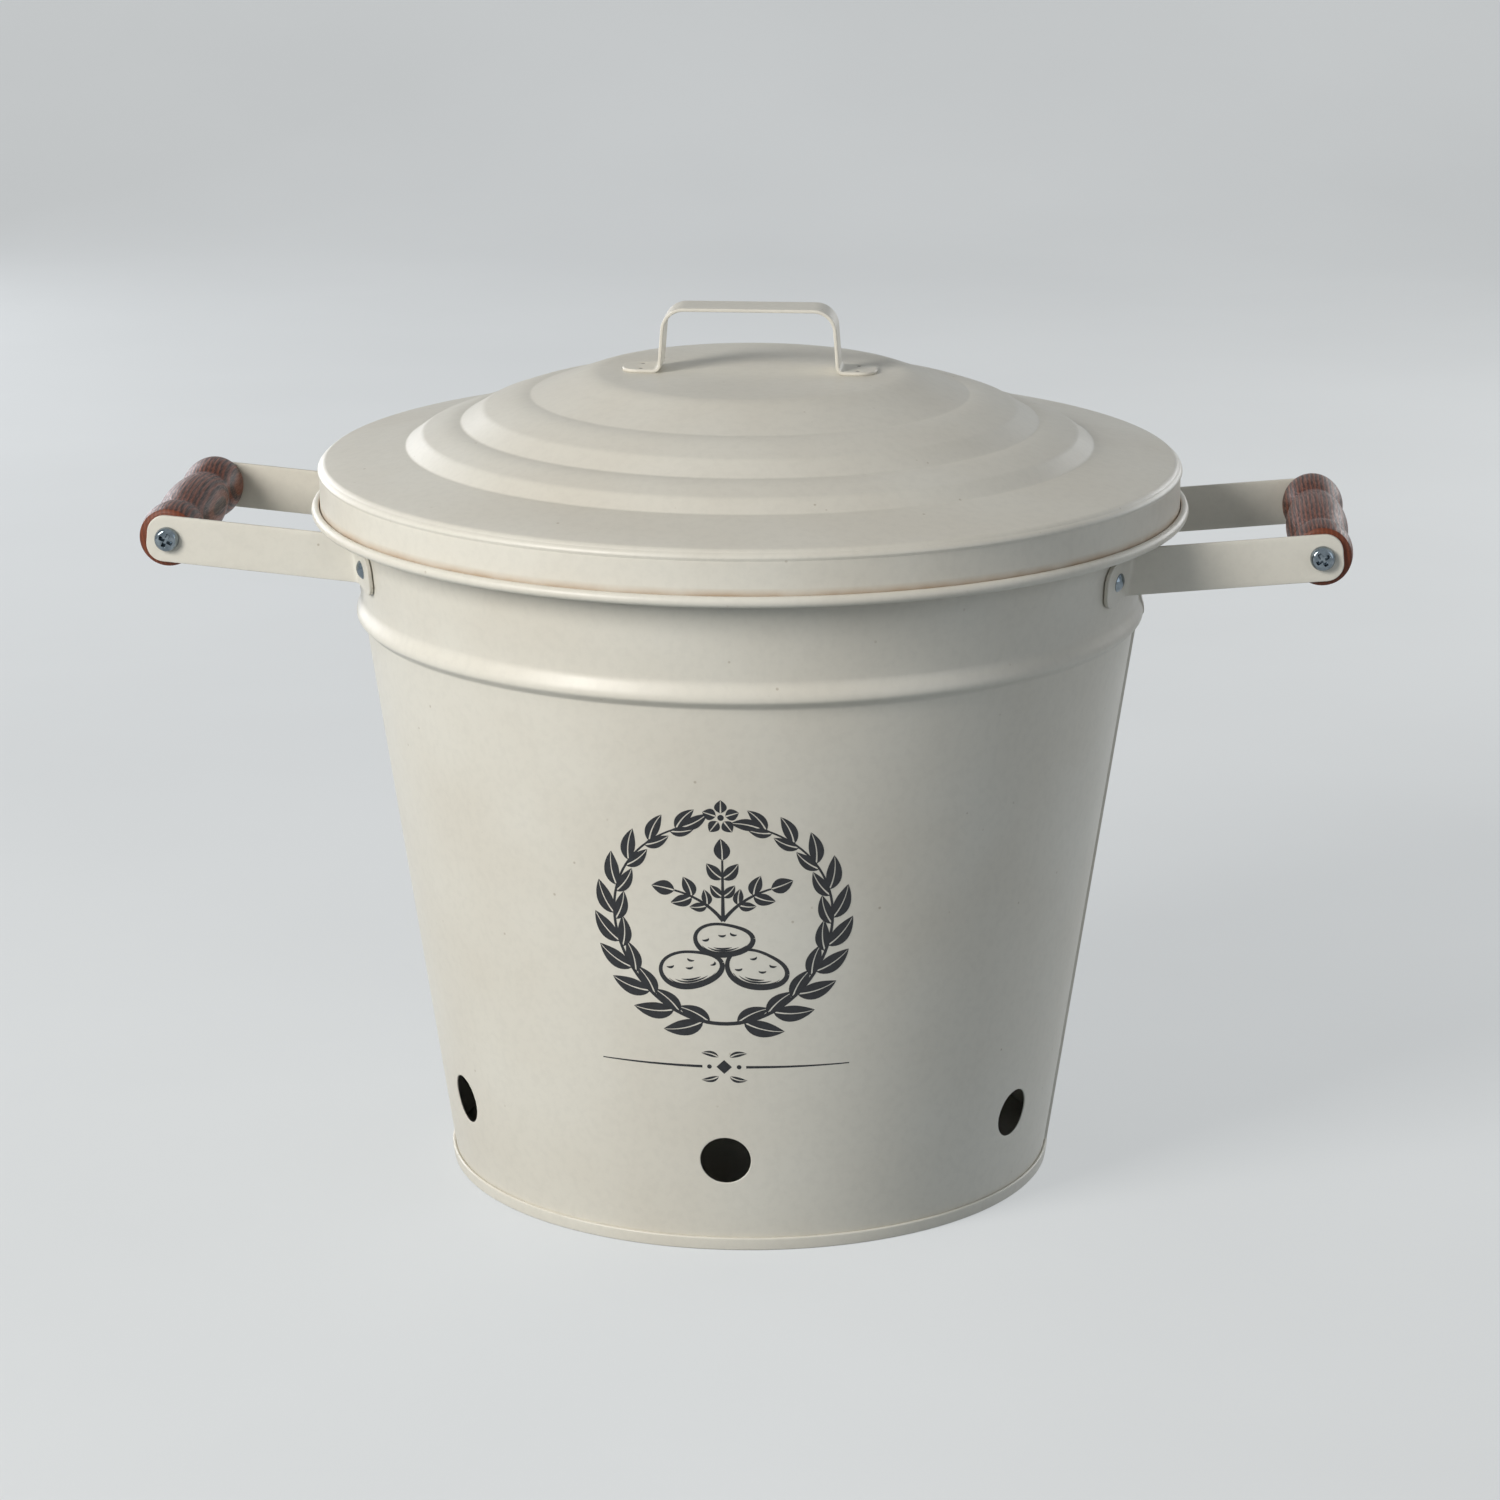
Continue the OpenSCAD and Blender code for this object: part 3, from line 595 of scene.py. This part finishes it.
def buildPan():
    sheet, bead, bend = pan["sheet"], pan["beadR"], pan["bendR"]
    low, high, floorTop = bead, wall["hemH"] - bead, pan["floorZ"] + sheet

    def flangeR(z):
        return wallR(z) - sheet / cos(taper) - pan["gap"]

    def beadMiddle(z):
        return wallR(z) + pan["gap"] + bead

    section = [(0, floorTop), (60, floorTop), (90, floorTop)]
    section += arcPoints((flangeR(pan["floorZ"]) - bend, floorTop - bend), bend, 90, 0, 6)
    section += [(flangeR(sheet), sheet), (beadMiddle(sheet) - bead, sheet)]
    section += arcPoints((beadMiddle(high), high), bead, 180, 0, 12)
    section += arcPoints((beadMiddle(low), low), bead, 0, -90, 6)
    section += arcPoints((flangeR(0), sheet), sheet, -90, -180, 5)
    under, innerR = pan["floorZ"], flangeR(pan["floorZ"]) - sheet
    section += [(innerR, under - 0.4), (innerR - 0.4, under), (90, under), (0, under)]
    verts, faces = revolved(section, roundSteps, False)
    makePiece("base_pan_coated", verts, faces, cream, "bin", 50, ["base_pan"])


buildPan()
print("bottom built")

# The lid: one sheet pressed into three soft steps, its edge curled outwards over a wire
lid = {
    "skirtR": 148, "skirtH": 16.2, "cornerR": 3, "sheet": 0.6,
    "beadR": 1.8, "freeEdge": 472,  # the lower edge's curl, and the angle at which it stops
    "plateR": 51, "plateH": 46, "ringH": 21.2, "seatGap": 0.3,
    "stepFootR": (119, 100, 76), "stepW": (7.5, 9.5, 13), "stepRise": (4.7, 5.2, 4.5),
    "valleySlope": 0.06, "crestSlope": 0.34, "footRound": 1.2, "crestRound": 2,
}
ringSlope = (lid["ringH"] - lid["skirtH"]) / (lid["skirtR"] - lid["stepFootR"][0])
treadW = lid["stepFootR"][0] - lid["plateR"] - sum(lid["stepW"])
treadSlope = (lid["plateH"] - lid["ringH"] - sum(lid["stepRise"])) / treadW
lidZ = (wall["height"] + lid["seatGap"] + lid["sheet"] * hypot(1, ringSlope)
        - lid["skirtH"] - ringSlope * (lid["skirtR"] - beadCentre))
lidBeadCentre = lid["skirtR"] - lid["sheet"] + lid["beadR"]
plateZ = lidZ + lid["plateH"]


def hermite(u, width, h0, h1, s0, s1):
    return (h0 * (2 * u ** 3 - 3 * u ** 2 + 1) + h1 * (3 * u ** 2 - 2 * u ** 3)
            + width * s0 * (u ** 3 - 2 * u ** 2 + u) + width * s1 * (u ** 3 - u ** 2))


def stepFace(width, rise):
    # A pressed step, inward from its foot: rounded foot, straight flank, rounded crest; (distance, gain)
    foot, crest = lid["footRound"], lid["crestRound"]
    valley, brow = lid["valleySlope"], lid["crestSlope"]
    flank = (rise - foot * valley / 2 - crest * brow / 2) / (width - foot / 2 - crest / 2)
    face = [(x, valley * x + (flank - valley) * x ** 2 / (2 * foot)) for x in spread(0, foot, 5)]
    for left in spread(crest, 0, 6)[:-1]:
        face.append((width - left, rise - brow * left - (flank - brow) * left ** 2 / (2 * crest)))
    return face


def lidFace():
    # Outer face from the skirt's rounded corner in to the middle, as (r, height above the bead)
    lean = math.degrees(atan(ringSlope))
    corner = (lid["skirtR"] - lid["cornerR"],
              lid["skirtH"] + lid["cornerR"] * (ringSlope - hypot(1, ringSlope)))
    points = arcPoints(corner, lid["cornerR"], 0, 90 - lean, 12)
    footH = lid["ringH"]
    r = lid["stepFootR"][0]
    lastR, lastH = points[-1]
    points += [(lastR + (r - lastR) * t, lastH + (footH - lastH) * t) for t in (0.3, 0.6, 0.85)]
    for i in range(3):
        width, rise = lid["stepW"][i], lid["stepRise"][i]
        points += [(r - x, footH + gain) for x, gain in stepFace(width, rise)]
        top, r = footH + rise, r - width
        nextR = lid["stepFootR"][i + 1] if i < 2 else lid["plateR"]
        tread = r - nextR
        nextH = top + treadSlope * tread if i < 2 else lid["plateH"]
        endSlope = lid["valleySlope"] if i < 2 else 0
        points += [(r - tread * u, hermite(u, tread, top, nextH, lid["crestSlope"], endSlope))
                   for u in spread(0, 1, 10)[:-1]]
        footH, r = nextH, nextR
    return points + [(lid["plateR"] * t, lid["plateH"]) for t in (1, 0.85, 0.6, 0.3, 0.08, 0)]


def sunk(points, depth):
    # The same face a sheet's thickness further in, measured square to it
    made = []
    for i, (r, z) in enumerate(points):
        before, after = points[max(i - 1, 0)], points[min(i + 1, len(points) - 1)]
        along = Vector((after[0] - before[0], after[1] - before[1])).normalized()
        made.append((max(r + along.y * depth, 0), z - depth * abs(along.x)) if r > 1e-6 else (0, z - depth))
    return made


def buildLid(material):
    face = lidFace()
    skirt = [(lid["skirtR"], h) for h in (0.4, 4, 8, 12)]
    section = skirt + face + sunk(face, lid["sheet"])[::-1] + [(r - lid["sheet"], h) for r, h in skirt[::-1]]
    section += curl((lidBeadCentre, 0), lid["beadR"], lid["sheet"], 180, lid["freeEdge"], 34)[::-1]
    verts, faces = revolved([(r, lidZ + h) for r, h in section], roundSteps, True)
    makePiece("lid_shell_coated", verts, faces, material, "lid", 50, ["lid_shell"])


def paintedGrooveShade(add, place, colour):
    # Painted shade: down in the groove beside the skirt the coat is darkened to a warm brown
    axes = add("SeparateXYZ", {"Vector": place}).outputs
    flat = add("CombineXYZ", {"X": axes["X"], "Y": axes["Y"], "Z": 0.0})
    reach = add("VectorMath", {0: flat}, operation="LENGTH")
    # Noise breaks the painted groove shade into uneven patches
    shadeBreakup = add("TexNoise", {"Vector": place, "Scale": 1000 / 14, "Detail": 3})
    share = add("MapRange", {"Value": shadeBreakup, "From Min": 0.3, "From Max": 0.7, "To Min": 0.35,
        "To Max": 0.85})
    skirtR = lid["skirtR"]
    for value, bare, full in ((reach, skirtR - 0.3, skirtR - 0.05), (reach, skirtR + 1.1, skirtR + 0.3),
                              (axes["Z"], lidZ + 4.2, lidZ + 1.2)):
        within = add("MapRange", {"Value": value, "From Min": bare * mm, "From Max": full * mm})
        share = add("Math", {0: share, 1: within}, operation="MULTIPLY")
    # The painted shade's warm brown is mixed into the coat's colour within the groove
    return add("Mix", {"Factor": share, "A": colour, "B": linearColour(coatLook["grooveShade"])},
        data_type="RGBA")


# The lid's coat carries the painted shade in its groove
lidCoat = creamPowderCoat("creamPowderCoatLid", paintedGrooveShade)
buildLid(lidCoat)
print("lid built")


def strapMesh(rows, acrossSteps, thick, edgeR, place):
    # A flat strip given by rows(inset) -> [(u, half width)], its edges rounded, folded by place(u, v, w)
    verts, faces = [], []

    def layer(inset, w):
        made = []
        for u, half in rows(inset):
            made.append([])
            for j in range(acrossSteps + 1):
                verts.append(place(u, half * (2 * j / acrossSteps - 1), w))
                made[-1].append(len(verts) - 1)
        return made

    def rim(grid):
        last = len(grid) - 1
        loop = list(grid[0]) + [grid[i][-1] for i in range(1, last)]
        return loop + list(reversed(grid[last])) + [grid[i][0] for i in range(last - 1, 0, -1)]

    bends = [(edgeR * (1 - sin(a)), thick / 2 - edgeR * (1 - cos(a))) for a in spread(0, pi / 2, 3)]
    top, bottom = layer(bends[0][0], bends[0][1]), layer(bends[0][0], -bends[0][1])
    for grid in (top, bottom):
        for low, high in zip(grid, grid[1:]):
            faces.extend((low[j], low[j + 1], high[j + 1], high[j]) for j in range(acrossSteps))
    loops = [rim(top)] + [rim(layer(inset, w)) for inset, w in bends[1:]]
    loops += [rim(layer(inset, -w)) for inset, w in reversed(bends[1:])] + [rim(bottom)]
    for first, second in zip(loops, loops[1:]):
        faces += bandFaces(first, second)
    # Only the rims of the middle layers carry faces, so their inner points are dropped
    used = sorted({v for face in faces for v in face})
    renumber = {v: n for n, v in enumerate(used)}
    return [verts[v] for v in used], [[renumber[v] for v in face] for face in faces]


def stripRows(first, last, half, cornerR, middleRows):
    # Rows of a strip with rounded ends, as a function of how far its outline is drawn in
    def rows(inset):
        arcs = [radians(a) for a in spread(0, 90, 9)]
        start = [(first + cornerR - (cornerR - inset) * cos(a), half - cornerR + (cornerR - inset) * sin(a))
                 for a in arcs]
        end = [(last - cornerR + (cornerR - inset) * cos(a), half - cornerR + (cornerR - inset) * sin(a))
               for a in reversed(arcs)]
        return start + [(u, half - inset) for u in middleRows] + end
    return rows


# Side handles: each arm is one strap folded aslant, its foot flat against the tapered wall
handle = {
    "gripX": 195, "gripZ": 229, "armY": 45.8, "tilt": 5.3, "strapW": 16, "strapT": 1.4, "bendR": 1.8,
    "rivetAz": 23, "footGap": 0.2, "edgeR": 0.26, "cornerR": 6, "armEnd": 7, "footEnd": 9,
}
sides, ends = (("right", 1), ("left", -1)), (("_rear", 1), ("_front", -1))
strapPlaces = [(side, end, right, rear) for side, right in sides for end, rear in ends]


def direction(azimuth, rise):
    return Vector((cos(azimuth) * cos(rise), sin(azimuth) * cos(rise), sin(rise)))


def armPlace():
    # Follows the fold: returns the placing function and the strap's two ends along it
    h = handle
    tilt, azimuth = radians(h["tilt"]), radians(h["rivetAz"])
    footNormal = direction(azimuth, -taper)
    refZ = h["gripZ"] - 10
    ref = Vector((wallR(refZ) * cos(azimuth), wallR(refZ) * sin(azimuth), refZ))
    ref += footNormal * (h["footGap"] + h["strapT"] / 2)
    foldDir = footNormal.cross(Vector((0, 1, 0))).normalized()
    lean = atan2(foldDir.x, foldDir.z)
    foldX = ((footNormal.dot(ref) - footNormal.y * h["armY"]
              - footNormal.z * (h["gripZ"] - h["gripX"] * tan(tilt)))
             / (footNormal.x + footNormal.z * tan(tilt)))
    fold = Vector((foldX, h["armY"], h["gripZ"] + (foldX - h["gripX"]) * tan(tilt)))
    skew = tilt + lean
    bend = math.acos(footNormal.y)
    midR = h["bendR"] + h["strapT"] / 2
    trim = midR * tan(bend / 2)
    footDir = cos(skew) * foldDir.cross(footNormal) - sin(skew) * foldDir
    tangent = direction(azimuth + pi / 2, 0)
    footLen = (ref - fold).dot(tangent) / footDir.dot(tangent)
    armLen = (h["gripX"] - foldX) / cos(tilt)
    slack = 2 * trim - midR * bend  # a round bend takes less strap than a sharp one
    turn = Matrix.Rotation(lean, 3, "Y")

    def place(u, v, w):
        x = u * cos(skew) - v * sin(skew)
        z = u * sin(skew) + v * cos(skew)
        into = (trim - x) / midR
        if into <= 0:
            x, y = x, -w
        else:
            angle = min(into, bend)
            past = max(into - bend, 0) * midR
            x = trim - (midR + w) * sin(angle) - past * cos(angle)
            y = midR - (midR + w) * cos(angle) + past * sin(angle)
            z -= slack * tan(skew) * angle / bend
        return fold + turn @ Vector((x, y, z))

    return place, slack / cos(skew) - footLen - h["footEnd"], armLen + h["armEnd"]


def buildArms():
    place, first, last = armPlace()
    half = handle["strapW"] / 2
    middleRows = spread(first + half + 2, -6, 4) + spread(-5.5, 6, 36) + spread(9, last - half - 2, 8)
    rows = stripRows(first, last, half, handle["cornerR"], middleRows)
    verts, faces = strapMesh(rows, 10, handle["strapT"], handle["edgeR"], place)
    for side, end, right, rear in strapPlaces:
        name = side + end + "_arm"
        placed = [(v[0] * right, v[1] * rear, v[2]) for v in verts]
        makePiece(name + "_coated", placed, faces, cream, "bin", 50, [name])


buildArms()
print("arms built")

# Grips: three turned lobes between two V grooves, chamfered ends
grip = {"d": 21, "length": 90, "grooveDepth": 2, "middleShare": 0.53, "chamfer": 1.0, "lobeShare": 0.78}


def gripSection():
    grooveR = grip["d"] / 2 - grip["grooveDepth"]
    half, middleHalf = grip["length"] / 2, grip["length"] * grip["middleShare"] / 2
    endLobe = half - grip["chamfer"] - middleHalf

    def lobe(u):
        return grooveR + grip["grooveDepth"] * (1 - (2 * u - 1) ** 2)

    side = [(lobe(u), middleHalf * (2 * u - 1)) for u in spread(0.5, 1, 12)]
    side += [(lobe(u * grip["lobeShare"]), middleHalf + endLobe * u) for u in spread(0, 1, 22)[1:]]
    endR = side[-1][0]
    soften = 0.25
    side += [(endR - soften * 0.3, half - grip["chamfer"] + soften),
             (endR - grip["chamfer"] + soften, half - soften), (endR - grip["chamfer"] - soften, half),
             (3, half), (2.2, half - 0.3), (0, half - 0.3)]
    return [(r, -y) for r, y in reversed(side[1:])] + side


def buildGrips():
    verts, faces = revolved(gripSection(), 96, False)
    for side, right in sides:
        name = side + "_grip"
        placed = [(right * handle["gripX"] + v[0], v[2], handle["gripZ"] + v[1]) for v in verts]
        makePiece(name + "_turned", placed, faces, wood, name, 35, [name])


buildGrips()
print("grips built")

# Grip screws: pan head with a cross recess, plain shank
screw = {"headD": 8.4, "headH": 2.9, "shankD": 4.0, "length": 22, "runGap": 0.1, "recessSpan": 4.9,
         "recessWidth": 1.3, "recessDepth": 1.9}


def recessDepthAt(x, y):
    deepest = 0
    for along, across in ((abs(x), abs(y)), (abs(y), abs(x))):
        reach = min(max((screw["recessSpan"] / 2 - along) / 0.9, 0), 1)
        width = screw["recessWidth"] / 2 * (0.6 + 0.4 * min(along / 1.2, 1))
        width += 0.25 * (1 - min(along / 0.9, 1))
        side = min(max((width - across) / 0.16, 0), 1)
        deepest = max(deepest, screw["recessDepth"] * reach * side)
    return deepest


def buildScrews():
    outside = handle["armY"] + handle["strapT"] / 2 + screw["runGap"]
    headR, turn = screw["headD"] / 2, 120
    flatR, brow = headR - 1.5, 1.9
    radii = spread(0, 2.6, 26) + spread(2.75, headR - 0.06, 12)
    verts, faces, rings = [], [], []

    def crown(r):
        # Pan head: nearly flat on top, then rolled over to a short land
        over = max((r - flatR) / (headR - flatR), 0)
        return screw["headH"] - 0.5 * (r / headR) ** 2 - brow * (1 - sqrt(max(1 - over ** 2.4, 0)))

    for r in radii:
        ring = []
        for k in range(turn):
            a = 2 * pi * k / turn
            x, y = r * cos(a), r * sin(a)
            verts.append((x, y, crown(r) - recessDepthAt(x, y)))
            ring.append(len(verts) - 1)
        rings.append(ring)
    shankLow = -(outside - grip["length"] / 2 + screw["length"]) + 1
    for r, z in ((headR, 0.45), (headR, 0.12), (headR - 0.12, 0), (screw["shankD"] / 2, 0),
                 (screw["shankD"] / 2, shankLow + 4), (0.3, shankLow), (0, shankLow)):
        first = len(verts)
        verts += [(r * cos(2 * pi * k / turn), r * sin(2 * pi * k / turn), z) for k in range(turn)]
        rings.append(list(range(first, first + turn)))
    for low, high in zip(rings, rings[1:]):
        faces += bandFaces(low, high)
    for side, end, right, rear in strapPlaces:
        name = side + end + "_screw"
        spin = radians(17 + 31 * right + 13 * rear)  # no two screws stop at the same turn
        placed = []
        for x, y, z in verts:
            across, up = x * cos(spin) - y * sin(spin), x * sin(spin) + y * cos(spin)
            placed.append((right * handle["gripX"] + across, rear * (outside + z), handle["gripZ"] + up))
        makePiece(name + "_plated", placed, faces, zinc, side + "_grip", 35, [name])


buildScrews()
print("screws built")

# Lid handle: a strap bent into a bridge, its feet spot-welded to the plate
bridge = {
    "legFootX": 30.7, "legTopX": 29, "height": 22.5, "strapW": 16, "strapT": 1.2, "footLen": 13,
    "topR": 7.4, "footR": 2.2, "cornerR": 6, "weldD": 3, "weldDepth": 0.35, "weldY": 4.6, "edgeR": 0.36,
}


def bentPath(corners, radii):
    # Straight runs and arcs of a bent strip, as pieces that know their length
    parts, trims, headings = [], [0], []
    for a, b in zip(corners, corners[1:]):
        headings.append(atan2(b[1] - a[1], b[0] - a[0]))
    for i in range(1, len(corners) - 1):
        trims.append(radii[i] * tan(abs(headings[i] - headings[i - 1]) / 2))
    trims.append(0)
    for i, heading in enumerate(headings):
        a, b = Vector(corners[i]), Vector(corners[i + 1])
        along = Vector((cos(heading), sin(heading)))
        length = (b - a).length - trims[i] - trims[i + 1]
        parts.append(("run", length, a + along * trims[i], heading, 0))
        if i < len(headings) - 1:
            turn = headings[i + 1] - heading
            parts.append(("arc", radii[i + 1] * abs(turn), b - along * trims[i + 1], heading,
                          turn / abs(turn) / radii[i + 1]))
    return parts


def alongPath(parts, u):
    for n, (kind, length, start, heading, curve) in enumerate(parts):
        if u <= length or n == len(parts) - 1:
            if kind == "run":
                return start + Vector((cos(heading), sin(heading))) * u, heading
            angle = heading + u * curve
            return start + Vector((sin(angle) - sin(heading), cos(heading) - cos(angle))) / curve, angle
        u -= length


def buildBridge():
    b = bridge
    footZ, topZ = b["strapT"] / 2, b["height"] - b["strapT"] / 2
    footEnd = b["legFootX"] + b["footLen"]
    corners = [(-footEnd, footZ), (-b["legFootX"], footZ), (-b["legTopX"], topZ)]
    corners += [(-x, z) for x, z in reversed(corners)]
    parts = bentPath(corners, [0, b["footR"], b["topR"], b["topR"], b["footR"], 0])
    total = sum(part[1] for part in parts)
    weldU = footEnd - (b["legFootX"] + b["footLen"] / 2)

    def place(u, v, w):
        (x, z), heading = alongPath(parts, u)
        gap = min(hypot(u - weldU, abs(v) - b["weldY"]), hypot(total - u - weldU, abs(v) - b["weldY"]))
        if w > 0 and gap < b["weldD"] / 2:
            w -= b["weldDepth"] * (1 - (gap * 2 / b["weldD"]) ** 2)
        return Vector((x - w * sin(heading), v, plateZ + z + w * cos(heading)))

    half = b["strapW"] / 2
    first = b["cornerR"] + 0.3
    rows = stripRows(0, total, half, b["cornerR"], spread(first, total - first, 150))
    verts, faces = strapMesh(rows, 32, b["strapT"], b["edgeR"], place)
    makePiece("lid_handle_coated", verts, faces, handleCoat, "lid", 50, ["lid_handle"])


def weldPits(add, place, colour):
    # A pinhole of bare, browned steel in the middle of each spot weld
    axes = add("SeparateXYZ", {"Vector": place})
    parts = []
    for axis, at in (("X", bridge["legFootX"] + bridge["footLen"] / 2), ("Y", bridge["weldY"])):
        size = add("Math", {0: axes.outputs[axis]}, operation="ABSOLUTE")
        parts.append(add("Math", {0: size, 1: at * mm}, operation="SUBTRACT").outputs[0])
    flat = add("CombineXYZ", {"X": parts[0], "Y": parts[1], "Z": 0.0})
    gap = add("VectorMath", {0: flat}, operation="LENGTH")
    pit = add("MapRange", {"Value": gap, "From Min": 0.85 * mm, "From Max": 0.5 * mm})
    low = add("Math", {0: axes.outputs["Z"], 1: (plateZ + bridge["strapT"] + 1) * mm}, operation="LESS_THAN")
    mask = add("Math", {0: pit, 1: low}, operation="MULTIPLY")
    return add("Mix", {"Factor": mask, "A": colour, "B": linearColour(coatLook["bare"])}, data_type="RGBA")


handleCoat = creamPowderCoat("creamPowderCoatHandle", weldPits)
buildBridge()
print("lid handle built")

# CAD nodes that stay as they are get their finish here
for nodeName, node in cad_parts.items():
    if nodeName.endswith(("rivet", "wire")):
        node.data.materials.clear()
        node.data.materials.append(zinc if nodeName.endswith("rivet") else wire)

# Floor, light and camera
studio = {
    "floorSize": 6, "sweepR": 0.9, "sweepY": 1.9,  # metres: the floor's width and its rise at the back
    "bounce": "#868D91", "glow": 1.0, "glowShare": 0.6,
    "airTone": "#E8ECEF", "airLevel": 0.38, "airAbove": 0.15, "farTone": "#C6CACC",
    "cameraPlace": (0.118, -1.574, 0.579), "aim": (0.0, 0.0, 0.146), "lens": 112,
}


def seenRays(add):
    # 1 for what the camera sees, straight or in a mirror or through glass
    path = add("LightPath").outputs
    seen = path["Is Camera Ray"]
    for kind in ("Is Glossy Ray", "Is Transmission Ray"):
        seen = add("Math", {0: seen, 1: path[kind]}, operation="MAXIMUM")
    return seen


def floorMaterial():
    # Painted plywood floor: matt, with a breath of unevenness
    material, add, shader, place = newMaterial("mattPaintedFloor")
    mottle = add("TexNoise", {"Vector": place, "Scale": 3, "Detail": 4})
    tone = add("ValToRGB", {"Fac": mottle}, [(0.3, "#DCDFE0"), (0.7, "#E0E3E4")])
    # Seen or mirrored it glows a little, so that it stays pale away from the lamps; the light that it
    # throws back on the bin is that of a duller floor
    seen = seenRays(add)
    colour = add("Mix", {"Factor": seen, "A": linearColour(studio["bounce"]), "B": tone}, data_type="RGBA")
    feed(shader, {"Base Color": colour, "Roughness": 0.7, "Specular IOR Level": 0.25})
    glow = add("Emission", {"Color": tone, "Strength": studio["glow"]})
    share = add("Math", {0: seen, 1: studio["glowShare"]}, operation="MULTIPLY")
    mix = add("MixShader", {0: share, 1: shader, 2: glow})
    feed(material.node_tree.nodes["Material Output"], {"Surface": mix})
    return material


def buildFloor():
    half, backY, r = studio["floorSize"] / 2, studio["sweepY"], studio["sweepR"]
    line = [(-4.0, 0)] + [(backY + r * sin(radians(a)), r - r * cos(radians(a))) for a in spread(0, 90, 24)]
    line.append((backY + r, 4.0))
    verts = [(side * half, y, z) for y, z in line for side in (-1, 1)]
    faces = [(2 * i, 2 * i + 1, 2 * i + 3, 2 * i + 2) for i in range(len(line) - 1)]
    mesh = bpy.data.meshes.new("studio_floor")
    mesh.from_pydata(verts, [], faces)
    mesh.shade_smooth()
    mesh.materials.append(floorMaterial())
    floor = addObject("studio_floor", mesh)


def aimAt(thing, place, target):
    thing.location = place
    thing.rotation_euler = (Vector(target) - Vector(place)).to_track_quat("-Z", "Y").to_euler()


lamps = {
    "key": {"place": (-1.35, -1.4, 1.12), "size": (0.8, 1.0), "power": 41, "colour": "#FFFCF8"},
    "fill": {"place": (1.9, -1.2, 0.8), "size": (1.4, 1.4), "power": 6, "colour": "#ECF3FF"},
    "back": {"place": (1.1, 1.2, 0.6), "size": (1.2, 0.5), "power": 7, "colour": "#FFFFFF"},
    "rear": {"place": (-1.3, 1.4, 0.5), "size": (1.2, 0.8), "power": 11, "colour": "#F6F9FF"},
}


def buildLights():
    for name, lamp in lamps.items():
        data = bpy.data.lights.new(name + "_softbox", "AREA")
        data.shape = "RECTANGLE"
        data.size, data.size_y = lamp["size"]
        data.energy = lamp["power"]
        data.color = linearColour(lamp["colour"])[:3]
        aimAt(addObject(name + "_softbox", data), lamp["place"], (0, 0, 0.15))


def buildAir():
    # The room's walls are pale and its ceiling dark, so level light is stronger than light from above
    world = bpy.data.worlds.new("studio_air")
    world.use_nodes = True
    add, nodes = partial(addNode, world.node_tree), world.node_tree.nodes
    up = add("SeparateXYZ", {"Vector": add("TexCoord").outputs["Generated"]}).outputs["Z"]
    level = add("MapRange", {"Value": up, "From Min": 0.0, "From Max": 0.9,
        "To Min": studio["airLevel"], "To Max": studio["airAbove"]})
    feed(nodes["Background"], {"Color": linearColour(studio["airTone"]), "Strength": level})
    # Past the floor's edge the eye and the mirrors meet the same pale tone as on the floor
    far = add("Background", {"Color": linearColour(studio["farTone"]), "Strength": 1.0})
    mix = add("MixShader", {0: seenRays(add), 1: nodes["Background"], 2: far})
    feed(nodes["World Output"], {"Surface": mix})
    bpy.context.scene.world = world


def buildCamera():
    data = bpy.data.cameras.new("camera")
    data.lens = studio["lens"]
    data.sensor_width = 36
    camera = addObject("camera", data)
    aimAt(camera, studio["cameraPlace"], studio["aim"])
    bpy.context.scene.camera = camera


buildFloor()
buildLights()
buildAir()
buildCamera()
bpy.context.scene.view_settings.view_transform = "Standard"
print("studio ready")

bpy.context.view_layer.update()
